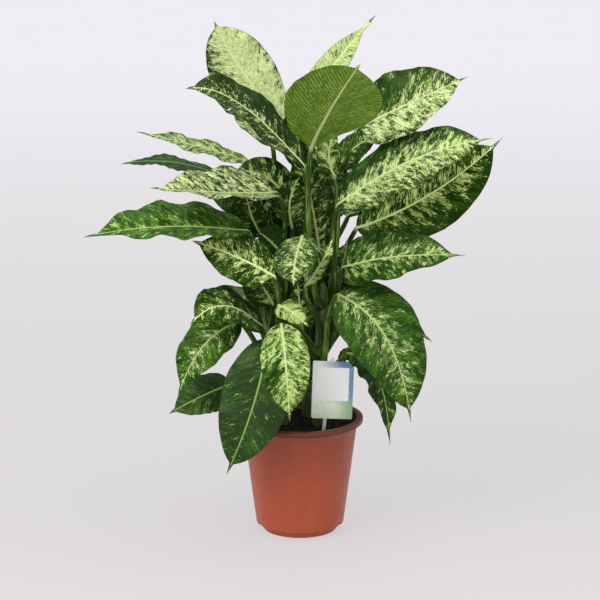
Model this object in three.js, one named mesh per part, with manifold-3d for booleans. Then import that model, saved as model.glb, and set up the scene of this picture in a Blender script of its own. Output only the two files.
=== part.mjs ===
// A potted dieffenbachia: a nursery pot, its soil, four canes, fifty leaves and a plant tag.
// Millimetres, +Z up. The origin is the middle of the pot's underside, and the front of the plant faces -Y.
import * as THREE from "three";
import { mergeVertices } from "three/addons/utils/BufferGeometryUtils.js";
import Module from "manifold-3d";

const wasm = await Module();
wasm.setup();

// What touches keeps this much air
const gap = 0.3;

// Pot: a thin round wall that widens upwards, a rolled lip, and an inset foot ring. Drain notches cut the
// corner above the ring, at angles measured from the front.
const pot = {
  lipRadius: 104,
  lipDrop: 9,
  height: 193,
  wall: 2.2,
  topRadius: 96,
  baseRadius: 72.5,
  bandHeight: 10,
  bandStep: 1.2,
  footHeight: 12,
  footRadius: 61,
  footWidth: 4,
  padRadius: 14,
  sides: 44,
  notchAngles: [-65, 65, 115, -115],
  notchSize: 9,
  notchInset: 2.5,
  edge: 1.5,
};

// Soil: fills the pot up to a little under the lip
const soil = { top: 178, crown: 3, sides: 36, inset: 0.5, holeSpare: 0.45 };

// Plant tag: a card on a thin stake that stands in the soil
const tag = {
  width: 67,
  height: 97,
  thick: 0.8,
  corner: 2,
  centre: [53, -48, 250],
  lean: 2,
  stakeWidth: 6,
  stakeThick: 1.2,
  stakePoint: 2,
  stakeTaper: 50,
  stakeFoot: [33, -47.1, 135],
  stakeHead: [53, -47.1, 303],
};

// Canes: foot and head in plan, foot and head heights, and the radius at the soil
const canes = {
  front: { foot: [29, -15], head: [37, -24], low: 117, high: 425, radius: 11 },
  left: { foot: [-22, -8], head: [-34, -18], low: 117, high: 413, radius: 9 },
  back: { foot: [10, 32], head: [20, 44], low: 117, high: 455, radius: 10 },
  rear: { foot: [-34, 34], head: [-50, 46], low: 117, high: 435, radius: 9 },
};
const caneShape = {
  sides: 12,
  scarStep: 24,
  scarRise: 1,
  scarHalf: 3,
  scarClear: 12,
  topTaper: 0.78,
  tipLength: 22,
  tipBlunt: 6,
  tipShare: 0.55,
};

// Leaf sections: the petiole is round and thicker at its foot, and the blade is a thin lens folded along
// its midrib. petioleSpring and petioleArrival shape the petiole's bend, petioleClear is its air at the
// cane, and stalkFade is how fast the petiole's width and depth die away into the blade.
const petioleRadius = { foot: 6, blade: 3.8 };
const petioleSpread = 0.45;
const petioleSpring = { share: 0.45, most: 50 };
const petioleRise = 1.2;
const petioleArrival = 0.3;
const petioleClear = 0.21;
const midribRadius = 1.1;
const quarterHalf = 0.75;
const midHalf = 0.85;
const edgeHalf = 0.8;
const thinning = 0.45;
const stalkFade = { width: 12, depth: 6 };
const roundness = 0.52;
const dripTip = { share: 0.07, half: 3.2 };
const droop = 0.12;
const waveShift = 1.3;
const waveSwell = 0.7;
const ringSides = 8;
const pathSteps = { petiole: 16, blade: 48 };
const petioleStations = [0, 4, 8, 12];
const bladeStations = [0, 2, 6, 11, 16, 21, 26, 31, 36, 41, 45, 48];

// Leaves. Each has the cane and height that it grows from, three points of its midrib (blade base, middle
// and drip tip), the blade's full width and the way that its upper side faces at the middle. fold is the
// rise of its halves in degrees, wave the height of its margin waves and waves their number. turn moves
// the petiole's foot round the cane, in degrees. peak is under 1 where the blade is widest near its base,
// and taper is larger where it is drawn out to a longer point.
const usual = { fold: 10, wave: 4, waves: 3, turn: 0, peak: 0.8, taper: 0.4 };
const leaves = [
  { name: "leaf_crown_left", cane: "rear", node: 378, base: [-23, 46, 674], mid: [-95, 42, 762],
    tip: [-138, 32, 843], width: 104, face: [0.1, -0.95, 0.3], wave: 3, peak: 1.05, taper: 0.1 },
  { name: "leaf_crown_left_arched", cane: "left", node: 395, base: [5, -14, 615], mid: [-99, -20, 719],
    tip: [-181, -52, 747], width: 92, face: [-0.1, -0.45, 0.9], fold: 16, taper: 0.6 },
  { name: "leaf_crown_back", cane: "back", node: 425, base: [17, 60, 696], mid: [50, 70, 760],
    tip: [124, 80, 846], width: 52, face: [0, -0.95, 0.2], fold: 14, wave: 3, peak: 0.7, taper: 1 },
  { name: "leaf_crown_front", cane: "front", node: 400, base: [18, -38, 651], mid: [50, -98, 726],
    tip: [95, -126, 801], width: 166, face: [-0.1, 0.72, 0.7], fold: 8, wave: 3, waves: 2, turn: 12,
    peak: 1.45, taper: 0 },
  { name: "leaf_crown_right", cane: "back", node: 400, base: [94, 22, 670], mid: [174, 0, 714],
    tip: [268, -25, 762], width: 128, face: [0, -0.75, 0.66], fold: 20, taper: 0.2 },
  { name: "leaf_crown_right_inner", cane: "back", node: 375, base: [59, 48, 593], mid: [88, 54, 631],
    tip: [134, 62, 653], width: 54, face: [0.2, -0.5, 0.8], wave: 2, waves: 2, turn: 50 },
  { name: "leaf_crown_young", cane: "front", node: 378, base: [55, -8, 601], mid: [47, -12, 639],
    tip: [63, -10, 676], width: 44, face: [-0.3, -0.95, 0.1], fold: 34, wave: 2, waves: 2, turn: 20 },
  { name: "leaf_right_high", cane: "front", node: 356, base: [62, -25, 553], mid: [180, -54, 633],
    tip: [305, -72, 671], width: 118, face: [0, -0.6, 0.8], wave: 5, turn: 16, taper: 0.3 },
  { name: "leaf_right_high_under", cane: "back", node: 350, base: [93, 30, 503], mid: [213, 16, 563],
    tip: [326, -8, 660], width: 124, face: [0.1, -0.88, 0.45], peak: 1, taper: 0.25 },
  { name: "leaf_right_middle", cane: "front", node: 325, base: [70, -34, 451], mid: [154, -70, 478],
    tip: [263, -101, 487], width: 108, face: [0, -0.65, 0.75], fold: 16, wave: 5, peak: 0.62 },
  { name: "leaf_right_low", cane: "front", node: 296, base: [61, -62, 413], mid: [139, -106, 351],
    tip: [178, -122, 217], width: 132, face: [0.35, -0.85, 0.35], wave: 3, turn: -15, taper: 0.1 },
  { name: "leaf_right_low_behind", cane: "back", node: 265, base: [85, 22, 356], mid: [157, 24, 347],
    tip: [217, 12, 315], width: 50, face: [0.2, -0.6, 0.75], wave: 3, waves: 2 },
  { name: "leaf_right_hanging", cane: "front", node: 250, base: [77, -36, 307], mid: [125, -55, 277],
    tip: [147, -62, 159], width: 60, face: [0.45, -0.75, 0.35], fold: 14, wave: 6, waves: 4 },
  { name: "leaf_right_spur", cane: "back", node: 280, base: [82, 40, 443], mid: [156, 36, 478],
    tip: [239, 28, 502], width: 46, face: [0, -0.5, 0.86], wave: 2, waves: 2, turn: 20 },
  { name: "leaf_right_small", cane: "back", node: 245, base: [62, -6, 286], mid: [82, -16, 302],
    tip: [106, -24, 287], width: 34, face: [0, -0.6, 0.8], wave: 2, waves: 2 },
  { name: "leaf_left_long", cane: "left", node: 335, base: [-83, -52, 515], mid: [-213, -96, 533],
    tip: [-341, -132, 524], width: 112, face: [0, -0.38, 0.92], fold: 22, wave: 5, waves: 4,
    turn: -35 },
  { name: "leaf_left_long_under", cane: "left", node: 300, base: [-42, -67, 445], mid: [-102, -75, 479],
    tip: [-173, -69, 504], width: 82, face: [-0.1, -0.8, 0.55], turn: -10 },
  { name: "leaf_front_centre", cane: "left", node: 372, base: [4, -64, 510], mid: [-8, -122, 481],
    tip: [-10, -152, 449], width: 72, face: [-0.1, -0.6, 0.8], wave: 3, waves: 2, turn: 25 },
  { name: "leaf_front_centre_dark", cane: "left", node: 345, base: [-30, -28, 475], mid: [-54, -30, 500],
    tip: [-66, -30, 508], width: 56, face: [0, -0.95, 0.3], fold: 8, wave: 2, waves: 2 },
  { name: "leaf_left_high", cane: "left", node: 365, base: [-37, -32, 574], mid: [-137, -72, 584],
    tip: [-237, -102, 597], width: 120, face: [0, -0.3, 0.95], fold: 26, turn: -130, peak: 0.66 },
  { name: "leaf_left_high_narrow", cane: "rear", node: 360, base: [-82, 60, 606], mid: [-168, 40, 637],
    tip: [-264, 18, 665], width: 70, face: [0.15, -0.2, 1], wave: 3, turn: 15, taper: 0.6 },
  { name: "leaf_left_high_far", cane: "rear", node: 335, base: [-138, 88, 582], mid: [-218, 86, 602],
    tip: [-294, 76, 600], width: 66, face: [0, -0.12, 1], fold: 8, wave: 3, waves: 2, turn: -20 },
  { name: "leaf_left_inner", cane: "left", node: 380, base: [-62, 22, 538], mid: [-101, 24, 558],
    tip: [-155, 32, 554], width: 84, face: [0, -0.8, 0.6], wave: 2, waves: 2, turn: 40 },
  { name: "leaf_left_low_arched", cane: "left", node: 268, base: [-62, -52, 357], mid: [-122, -90, 402],
    tip: [-175, -126, 379], width: 98, face: [-0.1, -0.6, 0.8], turn: -25, peak: 0.62 },
  { name: "leaf_left_low", cane: "left", node: 240, base: [-97, -54, 366], mid: [-156, -76, 331],
    tip: [-197, -92, 251], width: 80, face: [-0.35, -0.85, 0.4], fold: 12, turn: -40 },
  { name: "leaf_left_lowest", cane: "rear", node: 225, base: [-113, -6, 248], mid: [-161, -22, 232],
    tip: [-214, -38, 207], width: 76, face: [-0.1, -0.7, 0.7], fold: 8, wave: 2, waves: 2 },
  { name: "leaf_front_low", cane: "left", node: 250, base: [-52, -82, 345], mid: [-74, -128, 250],
    tip: [-118, -142, 136], width: 112, face: [-0.1, -0.92, 0.3], fold: 8, turn: 10, peak: 0.92,
    taper: 0.1 },
  { name: "leaf_front_low_mottled", cane: "left", node: 290, base: [-30, -122, 380],
    mid: [-22, -168, 317], tip: [-16, -187, 238], width: 80, face: [0, -0.9, 0.45], fold: 8, wave: 2,
    waves: 2, turn: 30, peak: 0.85, taper: 0.3 },
  { name: "leaf_front_small", cane: "front", node: 312, base: [-34, -76, 398], mid: [-14, -98, 394],
    tip: [14, -112, 373], width: 42, face: [0.2, -0.8, 0.5], wave: 2, waves: 2 },
  { name: "leaf_front_upright", cane: "front", node: 338, base: [10, -80, 432], mid: [35, -78, 471],
    tip: [53, -64, 508], width: 30, face: [-0.6, -0.8, 0.1], fold: 14, wave: 2, waves: 2, turn: 20 },
  { name: "leaf_inner_upright", cane: "back", node: 320, base: [34, 10, 455], mid: [18, 10, 555],
    tip: [-2, 14, 652], width: 80, face: [0, -0.95, 0.2], wave: 3 },
  { name: "leaf_inner_left", cane: "back", node: 340, base: [-16, 18, 547], mid: [-58, 22, 591],
    tip: [-111, 28, 597], width: 66, face: [0, -0.9, 0.4], wave: 2, waves: 2 },
  { name: "leaf_inner_low", cane: "back", node: 300, base: [8, 10, 415], mid: [-25, 12, 392],
    tip: [-60, 14, 360], width: 60, face: [0, -0.95, 0.2], wave: 2, waves: 2 },
  { name: "leaf_inner_right", cane: "back", node: 392, base: [48, 23, 520], mid: [56, 17, 575],
    tip: [50, 11, 636], width: 58, face: [0.1, -0.95, 0.1], wave: 2, waves: 2, turn: -40 },
  { name: "leaf_inner_low_left", cane: "left", node: 312, base: [-44, -47, 395], mid: [-64, -53, 432],
    tip: [-86, -57, 470], width: 66, face: [0, -0.95, 0.2], wave: 2, waves: 2, turn: -40 },
  { name: "leaf_inner_low_right", cane: "back", node: 319, base: [52, 20, 395], mid: [68, 12, 440],
    tip: [78, 8, 490], width: 56, face: [0, -0.95, 0.1], wave: 2, waves: 2, turn: 20 },
  { name: "leaf_inner_low_front", cane: "front", node: 280, base: [4, -30, 345], mid: [0, -42, 385],
    tip: [-4, -46, 430], width: 50, face: [0, -0.95, 0.1], wave: 2, waves: 2 },
  { name: "leaf_inner_middle", cane: "left", node: 330, base: [-28, 38, 450], mid: [-42, 32, 495],
    tip: [-50, 32, 540], width: 56, face: [0, -0.95, 0.1], wave: 2, waves: 2, turn: -20 },
  { name: "leaf_inner_top", cane: "back", node: 412, base: [8, 44, 600], mid: [-4, 40, 650],
    tip: [-24, 40, 700], width: 60, face: [0, -0.95, 0.2], wave: 2, waves: 2, turn: 20 },
  { name: "leaf_inner_crown", cane: "back", node: 396, base: [36, 26, 567], mid: [29, 30, 613],
    tip: [42, 40, 657], width: 60, face: [0, -0.95, 0.2], wave: 2, waves: 2, turn: -85 },
  { name: "leaf_inner_side", cane: "left", node: 364, base: [-62, -2, 497], mid: [-78, -8, 531],
    tip: [-87, -6, 567], width: 54, face: [-0.1, -0.95, 0.2], wave: 2, waves: 2, turn: 85 },
  { name: "leaf_inner_centre", cane: "left", node: 400, base: [-13, 0, 513], mid: [-16, -6, 557],
    tip: [0, -4, 596], width: 56, face: [0, -0.95, 0.1], wave: 2, waves: 2, turn: 20 },
  { name: "leaf_rear_high", cane: "back", node: 388, base: [0, 110, 615], mid: [0, 190, 665],
    tip: [-10, 270, 665], width: 104, face: [0, 0.2, 1], turn: 40 },
  { name: "leaf_rear_right", cane: "back", node: 352, base: [80, 110, 505], mid: [150, 170, 530],
    tip: [210, 225, 505], width: 100, face: [0, 0.1, 1], turn: 65 },
  { name: "leaf_rear_left", cane: "rear", node: 290, base: [-110, 110, 475], mid: [-165, 165, 495],
    tip: [-215, 215, 470], width: 100, face: [0, 0.1, 1] },
  { name: "leaf_rear_low_left", cane: "rear", node: 260, base: [-70, 105, 375], mid: [-88, 170, 362],
    tip: [-106, 225, 303], width: 92, face: [0, 0.4, 0.9] },
  { name: "leaf_rear_low_right", cane: "back", node: 240, base: [55, 95, 365], mid: [90, 160, 360],
    tip: [120, 215, 295], width: 92, face: [0, 0.4, 0.9] },
  { name: "leaf_rear_crown", cane: "rear", node: 395, base: [-45, 88, 628], mid: [-80, 150, 675],
    tip: [-115, 215, 670], width: 92, face: [0, 0.1, 1], turn: 20 },
  { name: "leaf_rear_middle", cane: "back", node: 300, base: [-20, 110, 500], mid: [-40, 178, 525],
    tip: [-60, 245, 510], width: 96, face: [0, 0.1, 1] },
  { name: "leaf_rear_low_middle", cane: "back", node: 215, base: [-5, 105, 335], mid: [-10, 168, 338],
    tip: [-15, 225, 285], width: 84, face: [0, 0.4, 0.9] },
].map((leaf) => ({ ...usual, ...leaf }));

const colours = {
  pot: 0xa3512f,
  soil: 0x1d1712,
  cane: 0x44602f,
  leaf: 0x5f8f3a,
  card: 0xdfe8ee,
  stake: 0xe6e6e2,
};

const vec = (list) => new THREE.Vector3(...list);
const upright = new THREE.Vector3(0, 0, 1);

function named(name, geometry, colour, roughness) {
  const material = new THREE.MeshStandardMaterial({ color: colour, roughness, metalness: 0 });
  const mesh = new THREE.Mesh(geometry, material);
  mesh.name = name;
  return mesh;
}

// Geometry to solid and back, for the cuts
function toSolid(geometry) {
  const bare = geometry.clone();
  bare.deleteAttribute("normal");
  bare.deleteAttribute("uv");
  const merged = mergeVertices(bare, 1e-4);
  const vertProperties = new Float32Array(merged.attributes.position.array);
  const triVerts = new Uint32Array(merged.index.array);
  return new wasm.Manifold(new wasm.Mesh({ numProp: 3, vertProperties, triVerts }));
}

function toGeometry(solid) {
  const mesh = solid.getMesh();
  const geometry = new THREE.BufferGeometry();
  geometry.setAttribute("position", new THREE.BufferAttribute(new Float32Array(mesh.vertProperties), 3));
  geometry.setIndex(new THREE.BufferAttribute(new Uint32Array(mesh.triVerts), 1));
  return geometry;
}

// A profile of [radius, height] points turned about the upright axis
function turned(profile, sides) {
  const points = profile.map(([radius, height]) => new THREE.Vector2(radius, height));
  return new THREE.LatheGeometry(points, sides).rotateX(Math.PI / 2);
}

// The pot's inner radius at a height
function innerRadius(height) {
  const share = (height - pot.footHeight) / (pot.height - pot.footHeight);
  return pot.baseRadius + share * (pot.topRadius - pot.baseRadius) - pot.wall;
}

function potGeometry() {
  const { lipRadius, lipDrop, height, wall, topRadius, baseRadius, edge } = pot;
  const { footHeight, footRadius, footWidth } = pot;
  const bandLow = height - lipDrop - pot.bandHeight;
  const bandRadius = innerRadius(bandLow) + wall;
  const floorTop = footHeight + wall;
  const profile = [
    [0, 0],
    [pot.padRadius, 0],
    [pot.padRadius, footHeight],
    [footRadius - footWidth, footHeight],
    [footRadius - footWidth + 1, 0],
    [footRadius - 0.5, 0],
    [footRadius, footHeight],
    [baseRadius - edge, footHeight],
    [baseRadius, footHeight + edge],
    [bandRadius, bandLow],
    [bandRadius + pot.bandStep, bandLow + 1],
    [topRadius + pot.bandStep, height - lipDrop],
    [lipRadius - edge, height - lipDrop],
    [lipRadius, height - lipDrop + edge],
    [lipRadius, height - edge],
    [lipRadius - edge, height],
    [innerRadius(height) + edge, height],
    [innerRadius(height - edge), height - edge],
    [innerRadius(floorTop), floorTop],
    [0, floorTop],
  ];
  let solid = toSolid(turned(profile, pot.sides));
  for (const notch of pot.notchAngles) {
    const cutter = new THREE.BoxGeometry(pot.notchSize, pot.notchSize, 3 * wall)
      .translate(baseRadius - pot.notchInset, 0, footHeight + wall / 2)
      .rotateZ(THREE.MathUtils.degToRad(notch - 90));
    solid = solid.subtract(toSolid(cutter));
  }
  return toGeometry(solid);
}

// A cane's radius at a share of its length
const caneRadius = (cane, share) => cane.radius * (1 - (1 - caneShape.topTaper) * share);

// A cane: a tapered round stem with a rounded growing tip, and low rings on its bare part, up to bareTop,
// where older leaves have dropped. spare thickens it, for the hole that it stands in.
function caneGeometry(cane, bareTop, spare = 0) {
  const { sides, scarStep, scarRise, scarHalf, scarClear } = caneShape;
  const { tipLength, tipBlunt, tipShare } = caneShape;
  const foot = new THREE.Vector3(cane.foot[0], cane.foot[1], cane.low);
  const head = new THREE.Vector3(cane.head[0], cane.head[1], cane.high);
  const length = head.distanceTo(foot);
  const radiusAt = (along) => caneRadius(cane, along / length) + spare;
  const profile = [[0, -spare], [radiusAt(0), -spare]];
  for (let height = soil.top + scarStep; height < bareTop - scarClear; height += scarStep) {
    const along = height - cane.low;
    profile.push([radiusAt(along), along - scarHalf]);
    profile.push([radiusAt(along) + scarRise, along]);
    profile.push([radiusAt(along), along + scarHalf]);
  }
  profile.push([radiusAt(length), length - tipLength]);
  profile.push([radiusAt(length) * tipShare, length - tipBlunt]);
  profile.push([0, length]);
  const lean = new THREE.Quaternion().setFromUnitVectors(upright, head.clone().sub(foot).normalize());
  return turned(profile, sides).applyQuaternion(lean).translate(foot.x, foot.y, foot.z);
}

// The tag's stake: a flat strip that narrows to a point in the soil
function stakeGeometry(spare = 0) {
  const foot = vec(tag.stakeFoot);
  const head = vec(tag.stakeHead);
  const half = tag.stakeWidth / 2 + spare;
  const length = head.z - foot.z;
  const shape = new THREE.Shape();
  shape.moveTo(-tag.stakePoint / 2 - spare, -spare);
  shape.lineTo(tag.stakePoint / 2 + spare, -spare);
  shape.lineTo(half, tag.stakeTaper);
  shape.lineTo(half, length);
  shape.lineTo(-half, length);
  shape.lineTo(-half, tag.stakeTaper);
  shape.closePath();
  const depth = tag.stakeThick + 2 * spare;
  const slope = Math.atan2(head.x - foot.x, length);
  return new THREE.ExtrudeGeometry(shape, { depth, bevelEnabled: false, steps: 1 })
    .rotateX(Math.PI / 2)
    .translate(0, depth / 2, 0)
    .rotateY(slope)
    .translate(foot.x, foot.y, foot.z);
}

function cardGeometry() {
  const { corner } = tag;
  const [w, h] = [tag.width / 2, tag.height / 2];
  const shape = new THREE.Shape();
  shape.moveTo(-w + corner, -h);
  shape.lineTo(w - corner, -h);
  shape.lineTo(w, -h + corner);
  shape.lineTo(w, h - corner);
  shape.lineTo(w - corner, h);
  shape.lineTo(-w + corner, h);
  shape.lineTo(-w, h - corner);
  shape.lineTo(-w, -h + corner);
  shape.closePath();
  const [x, y, z] = tag.centre;
  return new THREE.ExtrudeGeometry(shape, { depth: tag.thick, bevelEnabled: false, steps: 1 })
    .rotateX(Math.PI / 2)
    .rotateY(THREE.MathUtils.degToRad(tag.lean))
    .translate(x, y, z);
}

function soilGeometry() {
  const floor = pot.footHeight + pot.wall + gap;
  const profile = [
    [0, floor],
    [innerRadius(floor) - soil.inset, floor],
    [innerRadius(soil.top) - soil.inset, soil.top],
    [innerRadius(soil.top) * 0.5, soil.top + soil.crown * 0.7],
    [0, soil.top + soil.crown],
  ];
  let solid = toSolid(turned(profile, soil.sides));
  for (const cane of Object.values(canes)) {
    solid = solid.subtract(toSolid(caneGeometry(cane, 0, soil.holeSpare)));
  }
  return toGeometry(solid.subtract(toSolid(stakeGeometry(gap))));
}

// The middle of a cane at a height, and its radius there
function caneAt(cane, height) {
  const share = (height - cane.low) / (cane.high - cane.low);
  const centre = new THREE.Vector3(
    cane.foot[0] + share * (cane.head[0] - cane.foot[0]),
    cane.foot[1] + share * (cane.head[1] - cane.foot[1]),
    height,
  );
  return { centre, radius: caneRadius(cane, share) };
}

// A leaf's path: the petiole leaves the cane upwards and bends out to the blade, then the midrib follows
// one quadratic curve through its base, middle and tip
function leafPath(leaf) {
  const [base, mid, tip] = [vec(leaf.base), vec(leaf.mid), vec(leaf.tip)];
  const pull = mid.clone().multiplyScalar(2).sub(base.clone().add(tip).multiplyScalar(0.5));
  const blade = new THREE.QuadraticBezierCurve3(base, pull, tip);
  const start = blade.getTangent(0);
  const { centre, radius } = caneAt(canes[leaf.cane], leaf.node);
  const outward = new THREE.Vector3(base.x - centre.x, base.y - centre.y, 0)
    .normalize()
    .applyAxisAngle(upright, THREE.MathUtils.degToRad(leaf.turn));
  const rise = outward.clone().multiplyScalar(petioleSpread).add(upright).normalize();
  const clear = radius + petioleRadius.foot * rise.z + petioleClear;
  const foot = centre.clone().addScaledVector(outward, clear);
  const reach = foot.distanceTo(base);
  const arrival = start.clone().addScaledVector(upright, petioleRise).normalize();
  const petiole = new THREE.CubicBezierCurve3(
    foot,
    foot.clone().addScaledVector(rise, Math.min(petioleSpring.share * reach, petioleSpring.most)),
    base.clone().addScaledVector(arrival, -petioleArrival * reach),
    base,
  );
  const points = [];
  const tangents = [];
  for (let i = 0; i < pathSteps.petiole; i += 1) {
    points.push(petiole.getPoint(i / pathSteps.petiole));
    tangents.push(petiole.getTangent(i / pathSteps.petiole));
  }
  for (let i = 0; i <= pathSteps.blade; i += 1) {
    points.push(blade.getPoint(i / pathSteps.blade));
    tangents.push(blade.getTangent(i / pathSteps.blade));
  }
  return { points, tangents };
}

// Carries a normal from one point of the path to the next without turning it about the path
function carried(normal, points, tangents, from, to) {
  const step = points[to].clone().sub(points[from]);
  const first = (v) => v.clone().addScaledVector(step, (-2 * v.dot(step)) / step.lengthSq());
  const turn = tangents[to].clone().sub(first(tangents[from]));
  const flipped = first(normal);
  return flipped.addScaledVector(turn, (-2 * flipped.dot(turn)) / Math.max(turn.lengthSq(), 1e-12));
}

// The upper side's direction all along the path, set at the blade's middle
function leafNormals(leaf, points, tangents) {
  const middle = pathSteps.petiole + pathSteps.blade / 2;
  const normals = [];
  const face = vec(leaf.face);
  normals[middle] = face.addScaledVector(tangents[middle], -face.dot(tangents[middle])).normalize();
  for (let i = middle; i > 0; i -= 1) {
    normals[i - 1] = carried(normals[i], points, tangents, i, i - 1);
  }
  for (let i = middle; i < points.length - 1; i += 1) {
    normals[i + 1] = carried(normals[i], points, tangents, i, i + 1);
  }
  return normals;
}

// Half the blade's width at a share of its length: full in the middle, and a narrow drip tip at the end
function halfWidth(leaf, along) {
  const onBody = Math.min(along / (1 - dripTip.share), 1);
  const swell = Math.max(Math.sin(Math.PI * onBody ** leaf.peak), 0);
  const body = (leaf.width / 2) * swell ** (roundness + leaf.taper * onBody ** 8);
  return Math.max(body, dripTip.half * Math.min((1 - along) / dripTip.share, 1));
}

// One leaf as a closed skin: a section of eight points at each station, joined ring to ring
function leafGeometry(leaf) {
  const { points, tangents } = leafPath(leaf);
  const normals = leafNormals(leaf, points, tangents);
  const rings = [];
  const fold = THREE.MathUtils.degToRad(leaf.fold);
  for (const i of petioleStations) {
    const side = tangents[i].clone().cross(normals[i]).normalize();
    const share = i / pathSteps.petiole;
    const radius = petioleRadius.foot + share * (petioleRadius.blade - petioleRadius.foot);
    const ring = [];
    for (let k = 0; k < ringSides; k += 1) {
      const angle = Math.PI - (k * 2 * Math.PI) / ringSides;
      ring.push(
        points[i].clone()
          .addScaledVector(side, radius * Math.cos(angle))
          .addScaledVector(normals[i], radius * Math.sin(angle)),
      );
    }
    rings.push(ring);
  }
  for (const step of bladeStations) {
    const i = step + pathSteps.petiole;
    const along = step / pathSteps.blade;
    const normal = normals[i];
    const side = tangents[i].clone().cross(normal).normalize();
    const neck = petioleRadius.blade * (1 - stalkFade.width * along);
    const half = Math.max(halfWidth(leaf, along), edgeHalf, neck);
    const stalk = Math.max(1 - stalkFade.depth * along, 0) * petioleRadius.blade;
    const swell = Math.sin(Math.PI * along) ** waveSwell;
    const at = (u, thick) => {
      const phase = 2 * Math.PI * leaf.waves * along + (u > 0 ? waveShift : 0);
      const lift = Math.abs(u) * half * Math.sin(fold) - droop * half * u * u
        + leaf.wave * swell * u * u * Math.sin(phase);
      return points[i].clone()
        .addScaledVector(side, u * half * Math.cos(fold))
        .addScaledVector(normal, lift + thick);
    };
    const thin = 1 - thinning * along;
    const quarter = Math.max(quarterHalf * thin, Math.SQRT1_2 * stalk);
    const above = Math.max(midHalf * thin, stalk);
    const below = Math.max(midribRadius * thin + midHalf * thin, stalk);
    rings.push([
      at(-1, 0), at(-0.5, quarter), at(0, above), at(0.5, quarter),
      at(1, 0), at(0.5, -quarter), at(0, -below), at(-0.5, -quarter),
    ]);
  }
  const positions = [];
  for (const ring of rings) {
    for (const point of ring) {
      positions.push(point.x, point.y, point.z);
    }
  }
  const index = [];
  // The quad split leans the same way on the upper and the lower face
  const quad = (a, b, c, d, lean) => {
    if (lean) {
      index.push(a, c, b, a, d, c);
    } else {
      index.push(a, d, b, b, d, c);
    }
  };
  for (let r = 0; r < rings.length - 1; r += 1) {
    const [here, there] = [r * ringSides, (r + 1) * ringSides];
    for (let k = 0; k < ringSides; k += 1) {
      const next = (k + 1) % ringSides;
      quad(here + k, there + k, there + next, here + next, k >= ringSides / 2);
    }
  }
  const last = (rings.length - 1) * ringSides;
  for (let k = 1; k < ringSides - 1; k += 1) {
    index.push(0, k + 1, k);
    index.push(last, last + k, last + k + 1);
  }
  const geometry = new THREE.BufferGeometry();
  geometry.setAttribute("position", new THREE.Float32BufferAttribute(positions, 3));
  geometry.setIndex(index);
  return geometry;
}

const plant = new THREE.Group();
plant.add(named("pot", potGeometry(), colours.pot, 0.45));
plant.add(named("soil", soilGeometry(), colours.soil, 0.95));
for (const [name, cane] of Object.entries(canes)) {
  const lowestLeaf = Math.min(...leaves.filter((leaf) => leaf.cane === name).map((leaf) => leaf.node));
  plant.add(named(`cane_${name}`, caneGeometry(cane, lowestLeaf), colours.cane, 0.5));
}
for (const leaf of leaves) {
  plant.add(named(leaf.name, leafGeometry(leaf), colours.leaf, 0.4));
}
plant.add(named("tag_card", cardGeometry(), colours.card, 0.3));
plant.add(named("tag_stake", stakeGeometry(), colours.stake, 0.4));

export default plant;
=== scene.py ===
import math

import bpy
import numpy as np
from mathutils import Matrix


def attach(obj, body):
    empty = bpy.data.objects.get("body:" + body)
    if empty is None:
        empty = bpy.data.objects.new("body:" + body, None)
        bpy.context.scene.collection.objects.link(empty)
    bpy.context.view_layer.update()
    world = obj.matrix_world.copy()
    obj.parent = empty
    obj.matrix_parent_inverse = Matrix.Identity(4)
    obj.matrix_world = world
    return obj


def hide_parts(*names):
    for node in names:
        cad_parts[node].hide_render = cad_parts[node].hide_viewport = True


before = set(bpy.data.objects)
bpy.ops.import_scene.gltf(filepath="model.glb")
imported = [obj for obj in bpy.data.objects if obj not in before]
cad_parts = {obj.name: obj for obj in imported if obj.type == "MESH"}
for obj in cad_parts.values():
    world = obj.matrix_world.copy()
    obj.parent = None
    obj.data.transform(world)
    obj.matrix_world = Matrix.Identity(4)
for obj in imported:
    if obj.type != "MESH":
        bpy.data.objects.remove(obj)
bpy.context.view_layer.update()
print("frame loaded:", len(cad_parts), "solids")

mm = 0.001  # the tables below are in millimetres
scene = bpy.context.scene
up = np.array([0.0, 0.0, 1.0])


# Meshes

def unit(vectors):
    # Each vector divided by its length
    return vectors / np.linalg.norm(vectors, axis=-1, keepdims=True)


def circle(sides):
    # Even angles round one full turn
    return np.arange(sides) * 2 * np.pi / sides


def squared(values, power):
    # Each value raised to the power with its sign kept, which turns a circle into a rounded box
    return np.sign(values) * np.abs(values) ** power


def addPiece(name, points, faces, smooth=True):
    # A mesh object at the origin from an array of points and a list of faces
    mesh = bpy.data.meshes.new(name)
    mesh.from_pydata(points.reshape(-1, 3).tolist(), [], faces)
    mesh.update()
    mesh.polygons.foreach_set("use_smooth", np.full(len(mesh.polygons), smooth))
    piece = bpy.data.objects.new(name, mesh)
    scene.collection.objects.link(piece)
    return piece


def gridFaces(rows, columns, closed=False):
    # Quads between neighbouring rows and columns of a grid. Where it is closed, its last column
    # meets its first.
    r = np.arange(rows - 1)[:, None] * columns
    c = np.arange(columns if closed else columns - 1)[None, :]
    after = (c + 1) % columns
    return np.stack([r + c, r + after, r + columns + after, r + columns + c], -1).reshape(-1, 4)


def ringSkin(name, rings):
    # A closed skin over rings of points: quads between the rings, and over each end a fan of
    # triangles about the end ring's middle
    rows, columns = rings.shape[:2]
    points = np.concatenate([rings.reshape(-1, 3), [rings[0].mean(0), rings[-1].mean(0)]])
    here = np.arange(columns)
    after = (here + 1) % columns
    lastRow = (rows - 1) * columns
    centre = np.full(columns, rows * columns)
    startFan = np.stack([after, here, centre], 1)
    endFan = np.stack([lastRow + here, lastRow + after, centre + 1], 1)
    quads = gridFaces(rows, columns, closed=True)
    return addPiece(name, points, quads.tolist() + startFan.tolist() + endFan.tolist())


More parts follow.
